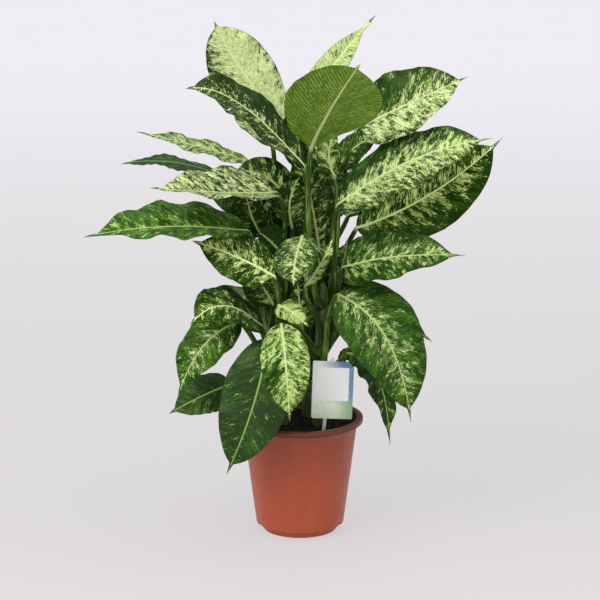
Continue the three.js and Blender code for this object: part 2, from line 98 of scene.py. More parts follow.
def addValues(piece, name, values, kind="FLOAT"):
    # A value, or a vector of three, kept at each point of the mesh for its material
    data = piece.data.attributes.new(name, kind, "POINT").data
    part = "value" if kind == "FLOAT" else "vector"
    data.foreach_set(part, np.asarray(values, dtype=float).ravel())


def latheRings(profile, sides):
    # The profile's points of radius and height turned about the upright axis, ring by ring
    angle = circle(sides)
    radius, height = profile[:, :1], profile[:, 1:]
    return np.stack([radius * np.cos(angle), radius * np.sin(angle), height + 0 * angle], -1)


def rounded(corners, steps=5):
    # A profile whose corners, given as radius, height and rounding, become arcs of a quadratic
    # curve
    out = []
    for i, (radius, height, soft) in enumerate(corners):
        here = np.array([radius, height])
        if soft == 0 or i in (0, len(corners) - 1):
            out.append(here)
            continue
        before = np.array(corners[i - 1][:2]) - here
        after = np.array(corners[i + 1][:2]) - here
        start = here + before * min(soft / np.linalg.norm(before), 0.5)
        end = here + after * min(soft / np.linalg.norm(after), 0.5)
        for t in np.linspace(0, 1, steps):
            out.append((1 - t) ** 2 * start + 2 * t * (1 - t) * here + t * t * end)
    return np.array(out)


boxCorners = np.array([[i, j, k] for i in (-1, 1) for j in (-1, 1) for k in (-1, 1)], dtype=float)
boxSides = np.array([[0, 1, 3, 2], [4, 6, 7, 5], [0, 4, 5, 1],
                     [2, 3, 7, 6], [0, 2, 6, 4], [1, 5, 7, 3]])


def boxFaces(count):
    # The quads of a number of boxes, whose eight corners each follow one another
    return (boxSides + 8 * np.arange(count)[:, None, None]).reshape(-1, 4).tolist()


def cutAway(piece, cutter):
    # The piece without what the cutter fills, applied to its mesh
    change = piece.modifiers.new("cut", "BOOLEAN")
    change.operation = "DIFFERENCE"
    change.object = cutter
    change.solver = "EXACT"
    seen = piece.evaluated_get(bpy.context.evaluated_depsgraph_get())
    cut = bpy.data.meshes.new_from_object(seen)
    piece.modifiers.clear()
    old = piece.data
    piece.data = cut
    bpy.data.meshes.remove(old)
    bpy.data.objects.remove(cutter)


# Material helpers. A value or colour that they take is a link from another node or a plain one.

def feed(tree, node, inputs):
    # Gives each named input of a node its link or its plain value
    for name, value in inputs.items():
        if isinstance(value, bpy.types.NodeSocket):
            tree.links.new(value, node.inputs[name])
        else:
            node.inputs[name].default_value = value


def put(tree, kind, inputs=None, **settings):
    # A new node with its settings and its inputs
    made = tree.nodes.new(kind)
    for name, value in settings.items():
        setattr(made, name, value)
    feed(tree, made, inputs or {})
    return made


def sums(tree, operation, *values):
    # One step of arithmetic on one, two or three values
    return put(tree, "ShaderNodeMath", dict(enumerate(values)), operation=operation).outputs[0]


# The sum, the difference and the product of two values

def plus(tree, first, second):
    return sums(tree, "ADD", first, second)


def minus(tree, first, second):
    return sums(tree, "SUBTRACT", first, second)


def times(tree, first, second):
    return sums(tree, "MULTIPLY", first, second)


def ramp(tree, value, low, high, toLow=0.0, toHigh=1.0):
    # Rises smoothly from toLow to toHigh as the value goes from low to high
    made = put(tree, "ShaderNodeMapRange", {"Value": value, "From Min": low, "From Max": high,
               "To Min": toLow, "To Max": toHigh}, interpolation_type="SMOOTHSTEP")
    return made.outputs["Result"]


def shade(colour):
    # A screen colour, three values of 0 to 255, as the linear colour that a socket takes
    screen = np.array(colour) / 255
    linear = np.where(screen <= 0.04045, screen / 12.92, ((screen + 0.055) / 1.055) ** 2.4)
    return (*linear.tolist(), 1.0)


def blend(tree, share, first, second):
    # The first colour where the share is 0 and the second where it is 1, mixed evenly between
    first, second = (shade(c) if isinstance(c, tuple) else c for c in (first, second))
    made = put(tree, "ShaderNodeMix", {0: share, 6: first, 7: second}, data_type="RGBA")
    return made.outputs[2]


def noise(tree, where, scale, detail=2.0, rough=0.5, warp=0.0):
    # Cloudy noise, mostly between 0.3 and 0.7, with the scale as its waves to a unit of the place
    made = put(tree, "ShaderNodeTexNoise", {"Vector": where, "Scale": scale, "Detail": detail,
               "Roughness": rough, "Distortion": warp})
    return made.outputs["Fac"]


def objectPlace(tree):
    # The place on the piece in its own frame, in metres
    return put(tree, "ShaderNodeTexCoord").outputs["Object"]


def split(tree, vector):
    # The vector's three parts, by the names X, Y and Z
    return put(tree, "ShaderNodeSeparateXYZ", {0: vector}).outputs


def stretched(tree, vector, factors):
    # The vector with each of its three parts multiplied, which draws a pattern out or crowds it
    made = put(tree, "ShaderNodeVectorMath", {0: vector, 1: factors}, operation="MULTIPLY")
    return made.outputs[0]


def relief(tree, height, strength, depth):
    # The normal over a fine relief, whose depth is in metres
    return put(tree, "ShaderNodeBump",
               {"Strength": strength, "Distance": depth, "Height": height}).outputs[0]


def newMaterial(name):
    # A material with its node tree and the surface that its colour and finish go into
    material = bpy.data.materials.new(name)
    material.use_nodes = True
    tree = material.node_tree
    return material, tree, tree.nodes["Principled BSDF"]


def newGroup(name, takes, gives):
    # A node group with its named inputs, each with a plain value, and its named outputs
    tree = bpy.data.node_groups.new(name, "ShaderNodeTree")
    for label, value in takes.items():
        kind = "NodeSocketVector" if isinstance(value, tuple) else "NodeSocketFloat"
        socket = tree.interface.new_socket(label, in_out="INPUT", socket_type=kind)
        socket.default_value = value
    for label in gives:
        tree.interface.new_socket(label, in_out="OUTPUT", socket_type="NodeSocketFloat")
    return tree, tree.nodes.new("NodeGroupInput").outputs, tree.nodes.new("NodeGroupOutput")


def placeGroup(tree, group, inputs):
    # What a shared effect puts out for this material's own values
    return put(tree, "ShaderNodeGroup", inputs, node_tree=group).outputs


# Shared effects

# Streaks: noise over a place that the material has drawn out one way, and a broader patchy part
# under it. Where the amount is high most of it passes, in flecks with crisp edges.
streaks, takes, gives = newGroup(
    "leafStreaks", {"Where": (0.0, 0.0, 0.0), "Amount": 0.5, "Softness": 0.05}, ("Mask", "Fine"))
fine = noise(streaks, takes["Where"], 1.0, detail=4.0, rough=0.7, warp=0.5)
broad = noise(streaks, stretched(streaks, takes["Where"], (0.14, 0.3, 1.0)), 1.0, detail=1.0)
field = plus(streaks, fine, times(streaks, minus(streaks, broad, 0.5), 0.5))
level = minus(streaks, 0.68, times(streaks, takes["Amount"], 0.32))
low, high = minus(streaks, level, takes["Softness"]), plus(streaks, level, takes["Softness"])
feed(streaks, gives, {"Mask": ramp(streaks, field, low, high), "Fine": fine})

# Fine grain: the small unevenness of a moulded or natural surface, as a height and a roughness
grain, takes, gives = newGroup(
    "fineGrain", {"Where": (0.0, 0.0, 0.0), "Size": 400.0, "Rough Low": 0.4, "Rough High": 0.55},
    ("Height", "Roughness", "Cloud"))
small = noise(grain, takes["Where"], takes["Size"], detail=3.0)
cloud = noise(grain, takes["Where"], times(grain, takes["Size"], 0.06), detail=3.0, rough=0.6)
rough = ramp(grain, cloud, 0.3, 0.7, takes["Rough Low"], takes["Rough High"])
feed(grain, gives, {"Height": small, "Cloud": cloud, "Roughness": rough})


# Camera: square on to the front, looking down at the plant, placed in metres and tilted in degrees

view = {"place": (0, -4.5, 1.511), "pitch": 14, "lens": 170.3, "sensor": 36, "farthest": 100}
camera = bpy.data.objects.new("camera", bpy.data.cameras.new("camera"))
camera.data.lens = view["lens"]
camera.data.sensor_width = view["sensor"]
camera.data.clip_end = view["farthest"]
camera.location = view["place"]
camera.rotation_euler = (math.radians(90 - view["pitch"]), 0, 0)
scene.collection.objects.link(camera)
scene.camera = camera


# Pot: a thin round wall that widens upwards, a band under a rolled lip, and an inset foot ring with
# notches above it

pot = {
    "lipRadius": 104, "lipDrop": 9, "height": 193, "wall": 2.2, "topRadius": 96, "baseRadius": 72.5,
    "bandHeight": 10, "bandStep": 1.2, "footHeight": 12, "footRadius": 61, "footWidth": 4,
    "padRadius": 14, "sides": 160, "crease": 50,
    "notchAngles": (-65, 65, 115, -115), "notchSize": 9, "notchInset": 2.5,
    # colours; upper is painted shade from the leaves above, lip is the rim's darker colour with
    # painted shade, groove is a painted shadow under the lip
    "clay": (168, 72, 35), "flow": (163, 68, 33), "cloud": (150, 64, 34), "upper": (104, 40, 22),
    "lip": (84, 30, 16), "groove": (72, 26, 16),
}


def innerRadius(height):
    # The radius of the pot's inside, which grows evenly with height
    share = (height - pot["footHeight"]) / (pot["height"] - pot["footHeight"])
    return pot["baseRadius"] + share * (pot["topRadius"] - pot["baseRadius"]) - pot["wall"]


def buildPot():
    # One profile, from the middle of the pad out, up the outside, over the lip and down the inside.
    # Each corner has a radius, a height and a rounding. Boxes then cut the notches.
    lip, drop, height, wall = pot["lipRadius"], pot["lipDrop"], pot["height"], pot["wall"]
    top, base, foot = pot["topRadius"], pot["baseRadius"], pot["footHeight"]
    step, pad, ring = pot["bandStep"], pot["padRadius"], pot["footRadius"]
    inside = ring - pot["footWidth"]
    bandLow = height - drop - pot["bandHeight"]
    bandRadius = innerRadius(bandLow) + wall
    floorTop = foot + wall
    corners = [
        (0.01, 0, 0), (pad, 0, 0.8), (pad, foot, 0.8), (inside, foot, 0.8), (inside + 1, 0, 0.8),
        (ring - 0.5, 0, 1.2), (ring, foot, 0.6), (base - 0.2, foot, 1.6),
        (base + 0.1, foot + 1.5, 1), (bandRadius, bandLow, 0.8),
        (bandRadius + step, bandLow + step, 0.8), (top + step, height - drop, 1.2),
        (lip, height - drop, 2.2), (lip, height, 3), (innerRadius(height), height, 2.2),
        (innerRadius(floorTop), floorTop, 3), (0.01, floorTop, 0),
    ]
    piece = ringSkin("potShell", latheRings(rounded(corners) * mm, pot["sides"]))
    size, low = pot["notchSize"] * mm, foot * mm
    halfWide, halfHigh = size / 2, 1.5 * wall * mm
    cutters = []
    for angle in pot["notchAngles"]:
        turn = math.radians(angle - 90)
        outward = np.array([math.cos(turn), math.sin(turn), 0])
        across = np.array([-outward[1], outward[0], 0])
        middle = outward * (base - pot["notchInset"]) * mm + up * (low + wall * mm / 2)
        cutters.append(middle + boxCorners[:, :1] * halfWide * outward
                       + boxCorners[:, 1:2] * halfWide * across + boxCorners[:, 2:] * halfHigh * up)
    faces = boxFaces(len(cutters))
    cutAway(piece, addPiece("notchCutter", np.concatenate(cutters), faces, smooth=False))
    piece.data.shade_smooth()
    piece.data.set_sharp_from_angle(angle=math.radians(pot["crease"]))
    return piece


def potMaterial():
    # Terracotta-coloured plastic, a little darker and duller in clouds, with soft vertical flow
    # marks. Painted shade from the leaves above deepens it slowly towards the lip. The lip is a
    # darker red-brown, partly its own colour and partly painted shade, with a painted shadow along
    # its lower half and on the wall just under it.
    material, tree, surface = newMaterial("terracottaPlastic")
    where = objectPlace(tree)
    height = split(tree, where)["Z"]
    lipLow = (pot["height"] - pot["lipDrop"]) * mm
    finish = placeGroup(tree, grain, {"Where": where, "Size": 900.0, "Rough Low": 0.36,
                                      "Rough High": 0.46})
    marks = noise(tree, stretched(tree, where, (45.0, 45.0, 3.0)), 1.0, detail=2.0)
    colour = blend(tree, ramp(tree, marks, 0.35, 0.65), pot["clay"], pot["flow"])
    # a painted shadow on the wall just under the lip and along the lip's lower half
    groove = times(tree, ramp(tree, height, lipLow - 2.5 * mm, lipLow - 0.5 * mm),
                   ramp(tree, height, lipLow + 3 * mm, lipLow + 5 * mm, 1.0, 0.0))
    for share, name in (
            (ramp(tree, finish["Cloud"], 0.45, 0.75, 0.0, 0.35), "cloud"),
            # painted shade from the leaves above, deepening towards the lip
            (ramp(tree, height, 60 * mm, lipLow + mm, 0.0, 0.4), "upper"),
            # the lip: its own darker red-brown, deepened with painted shade
            (ramp(tree, height, lipLow - mm, lipLow + mm, 0.0, 0.7), "lip"),
            (times(tree, groove, 0.75), "groove")):
        colour = blend(tree, share, colour, pot[name])
    feed(tree, surface, {"Base Color": colour, "Roughness": finish["Roughness"],
                         "Normal": relief(tree, finish["Height"], 0.06, 0.4 * mm)})
    return material


potShell = buildPot()
potShell.data.materials.clear()
potShell.data.materials.append(potMaterial())
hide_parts("pot")
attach(potShell, "root")
print("pot ready")


# Soil: a lumpy crowned top over a plain body, strewn with crumbs of bark and fibre

soil = {
    "top": 178, "crown": 3, "inset": 0.5, "lift": 0.3, "rings": 60, "sides": 120, "seed": 4,
    "lumps": 22, "lumpShort": 6, "lumpLong": 50, "lumpRise": 0.03,
    # colours
    "dark": (14, 11, 8), "brown": (48, 37, 27),
}
crumbs = {
    "count": 420, "least": 0.6, "most": 2.4, "shape": (1.5, 0.8, 0.5), "uneven": (0.6, 1.2),
    "tilt": 0.6, "fromEdge": 4, "raised": 0.2,
}


def soilHeight(x, y):
    # The crowned top plus a sum of waves of many lengths and directions, in metres
    draw = np.random.default_rng(soil["seed"])
    radius = np.hypot(x, y)
    edge = innerRadius(soil["top"]) * mm
    height = soil["top"] * mm + soil["crown"] * mm * (1 - (radius / edge) ** 2)
    for length in np.geomspace(soil["lumpShort"] * mm, soil["lumpLong"] * mm, soil["lumps"]):
        angle, phase = draw.uniform(0, 2 * np.pi, 2)
        along = x * np.cos(angle) + y * np.sin(angle)
        height = height + soil["lumpRise"] * length * np.sin(2 * np.pi * along / length + phase)
    return height


def buildSoil():
    # Rings from the middle of the underside out, up the side, and over the lumpy top to the middle
    bottom = pot["footHeight"] + pot["wall"] + soil["lift"]
    low = bottom * mm
    lowRadius = (innerRadius(bottom) - soil["inset"]) * mm
    topRadius = (innerRadius(soil["top"]) - soil["inset"]) * mm
    side = np.array([[0.00001, low], [lowRadius, low], [lowRadius, low + 0.0001]])
    radii = topRadius * np.linspace(1, 0.0001, soil["rings"])
    top = latheRings(np.stack([radii, 0 * radii], 1), soil["sides"])
    top[..., 2] = soilHeight(top[..., 0], top[..., 1])
    return ringSkin("soilBed", np.concatenate([latheRings(side, soil["sides"]), top]))


def buildCrumbs():
    # Small bent boxes of random size and turn, half sunk in the soil's top
    draw = np.random.default_rng(soil["seed"] + 1)
    count = crumbs["count"]
    size = draw.uniform(crumbs["least"], crumbs["most"], (count, 1, 3)) * mm * crumbs["shape"]
    corner = boxCorners * size * draw.uniform(*crumbs["uneven"], (count, 8, 3))
    turn = draw.uniform(0, 2 * np.pi, count)
    tilt = draw.uniform(-crumbs["tilt"], crumbs["tilt"], count)
    c, s = np.cos(tilt)[:, None], np.sin(tilt)[:, None]
    x, y, z = corner[..., 0], corner[..., 1], corner[..., 2]
    x, z = c * x + s * z, c * z - s * x
    c, s = np.cos(turn)[:, None], np.sin(turn)[:, None]
    turned = np.stack([c * x - s * y, s * x + c * y, z], -1)
    edge = (innerRadius(soil["top"]) - crumbs["fromEdge"]) * mm
    reach = edge * np.sqrt(draw.uniform(0, 1, count))
    angle = draw.uniform(0, 2 * np.pi, count)
    x, y = reach * np.cos(angle), reach * np.sin(angle)
    middle = np.stack([x, y, soilHeight(x, y) + crumbs["raised"] * mm], -1)
    return addPiece("soilCrumbs", turned + middle[:, None], boxFaces(count), smooth=False)


def soilMaterial():
    # Nearly black compost, browner in patches, dull and rough
    material, tree, surface = newMaterial("darkCompost")
    where = objectPlace(tree)
    finish = placeGroup(tree, grain, {"Where": where, "Size": 1100.0, "Rough Low": 0.8,
                                      "Rough High": 0.98})
    patch = noise(tree, where, 160.0, detail=4.0, rough=0.65)
    colour = blend(tree, ramp(tree, patch, 0.4, 0.68), soil["dark"], soil["brown"])
    feed(tree, surface, {"Base Color": colour, "Roughness": finish["Roughness"],
                         "Normal": relief(tree, finish["Height"], 0.8, 1.2 * mm),
                         "Specular IOR Level": 0.25})
    return material


compost = soilMaterial()
soilBed = buildSoil()
soilCrumbs = buildCrumbs()
for piece in (soilBed, soilCrumbs):
    piece.data.materials.append(compost)
    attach(piece, "root")
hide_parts("soil")
print("soil ready")


# Canes: four stems, foot and head in plan, foot and head heights, and the radius at the soil

canes = {
    "front": dict(foot=(29, -15), head=(37, -24), low=117, high=425, radius=11),
    "left": dict(foot=(-22, -8), head=(-34, -18), low=117, high=413, radius=9),
    "back": dict(foot=(10, 32), head=(20, 44), low=117, high=455, radius=10),
    "rear": dict(foot=(-34, 34), head=(-50, 46), low=117, high=435, radius=9),
}
caneKind = {
    "sides": 40, "rings": 150, "topTaper": 0.78, "tipLength": 22, "scarStep": 24, "scarRise": 1.0,
    "scarHalf": 1.6, "scarTilt": 1.5, "scarTurn": 2.4, "grooveDeep": 0.3, "grooveAbove": 1.8,
    "belowLeaf": 12, "lobes": 3, "lobeRise": 0.012, "lobeTwist": 0.03,
    # colours
    "dark": (58, 80, 30), "light": (102, 126, 58), "brown": (74, 66, 42),
}


def caneAt(cane, height):
    # The middle of a cane in plan and its radius, at one height or at many, in millimetres
    share = (np.asarray(height) - cane["low"]) / (cane["high"] - cane["low"])
    foot, head = np.array(cane["foot"]), np.array(cane["head"])
    radius = cane["radius"] * (1 - (1 - caneKind["topTaper"]) * share)
    return foot + share[..., None] * (head - foot), radius


def buildCane(name, cane, bareTop):
    # A tapered round stem: its radius falls evenly with height and closes as a quarter of an
    # ellipse at the growing tip, and swells in a thin ring at each leaf scar, which runs a little
    # out of level and has a faint groove over it. Low lobes wind slowly up the stem.
    shape = caneKind
    heights = np.linspace(cane["low"], cane["high"], shape["rings"])
    angle = circle(shape["sides"])
    middle, radius = caneAt(cane, heights)
    left = np.clip((cane["high"] - heights) / shape["tipLength"], 0, 1)
    radius = radius * np.sqrt(np.clip(1 - (1 - left) ** 2, 0.0004, 1))
    heights = heights[:, None]
    skin = radius[:, None] + 0 * angle
    scar, turn = soil["top"] + shape["scarStep"], 0.0
    while scar < bareTop - shape["scarHalf"]:
        tilt = shape["scarTilt"] * np.cos(angle - turn)
        away = (heights - scar - tilt) / shape["scarHalf"]
        skin = skin + shape["scarRise"] * np.exp(-away ** 2)
        skin = skin - shape["grooveDeep"] * np.exp(-(away - shape["grooveAbove"]) ** 2)
        scar, turn = scar + shape["scarStep"], turn + shape["scarTurn"]
    wind = shape["lobes"] * angle + heights * shape["lobeTwist"]
    skin = skin * (1 + shape["lobeRise"] * np.sin(wind))
    rings = np.stack([middle[:, :1] + skin * np.cos(angle), middle[:, 1:] + skin * np.sin(angle),
                      heights + 0 * angle], -1)
    return ringSkin(name, rings * mm)


def caneMaterial():
    # Green bark with fine upright streaks, paler flecks, and brown towards the soil
    material, tree, surface = newMaterial("greenCane")
    where = objectPlace(tree)
    lines = placeGroup(tree, streaks, {"Where": stretched(tree, where, (700.0, 700.0, 30.0)),
                                       "Amount": 0.45, "Softness": 0.12})
    finish = placeGroup(tree, grain, {"Where": where, "Size": 800.0, "Rough Low": 0.35,
                                      "Rough High": 0.55})
    colour = blend(tree, lines["Mask"], caneKind["dark"], caneKind["light"])
    height = plus(tree, split(tree, where)["Z"], times(tree, finish["Cloud"], 0.06))
    earth = times(tree, ramp(tree, height, 0.2, 0.27, 1.0, 0.0), 0.6)
    feed(tree, surface, {"Base Color": blend(tree, earth, colour, caneKind["brown"]),
                         "Roughness": finish["Roughness"],
                         "Normal": relief(tree, lines["Fine"], 0.25, 0.6 * mm)})
    return material


# Leaves, a row each. First come the cane and height that it grows from, three points of its midrib
# (blade base, middle and drip tip), the blade's full width and the way that its upper side faces
# at the middle. pale and rim are the share of pale streaks at the midrib and at the margin, tone is
# how light its green is, and cream how light its pale is; past 1, cream adds painted light to the
# pale and the midrib of a leaf that hangs in shade.
# Then what isn't usual about it. fold is the rise of its halves in degrees, wave the height of its
# margin waves and waves their number, turn moves the petiole's foot round the cane, peak sets where
# it is widest and taper how long its point is. lean moves the pale to one half, fine makes the
# streaks smaller, and grey dulls the green. patches are plain green areas, each a place along, a
# place across and its two sizes.

rowOrder = ("cane", "node", "base", "mid", "tip", "width", "face", "pale", "rim", "tone", "cream")
usual = dict(fold=10, wave=4, waves=3, turn=0, peak=0.8, taper=0.4, lean=0, fine=1, grey=0,
             patches=())


def leafRow(*row, **unusual):
    # A leaf's values by name: the row's in their order, and the usual ones but for what it changes
    return {**usual, **dict(zip(rowOrder, row)), **unusual}


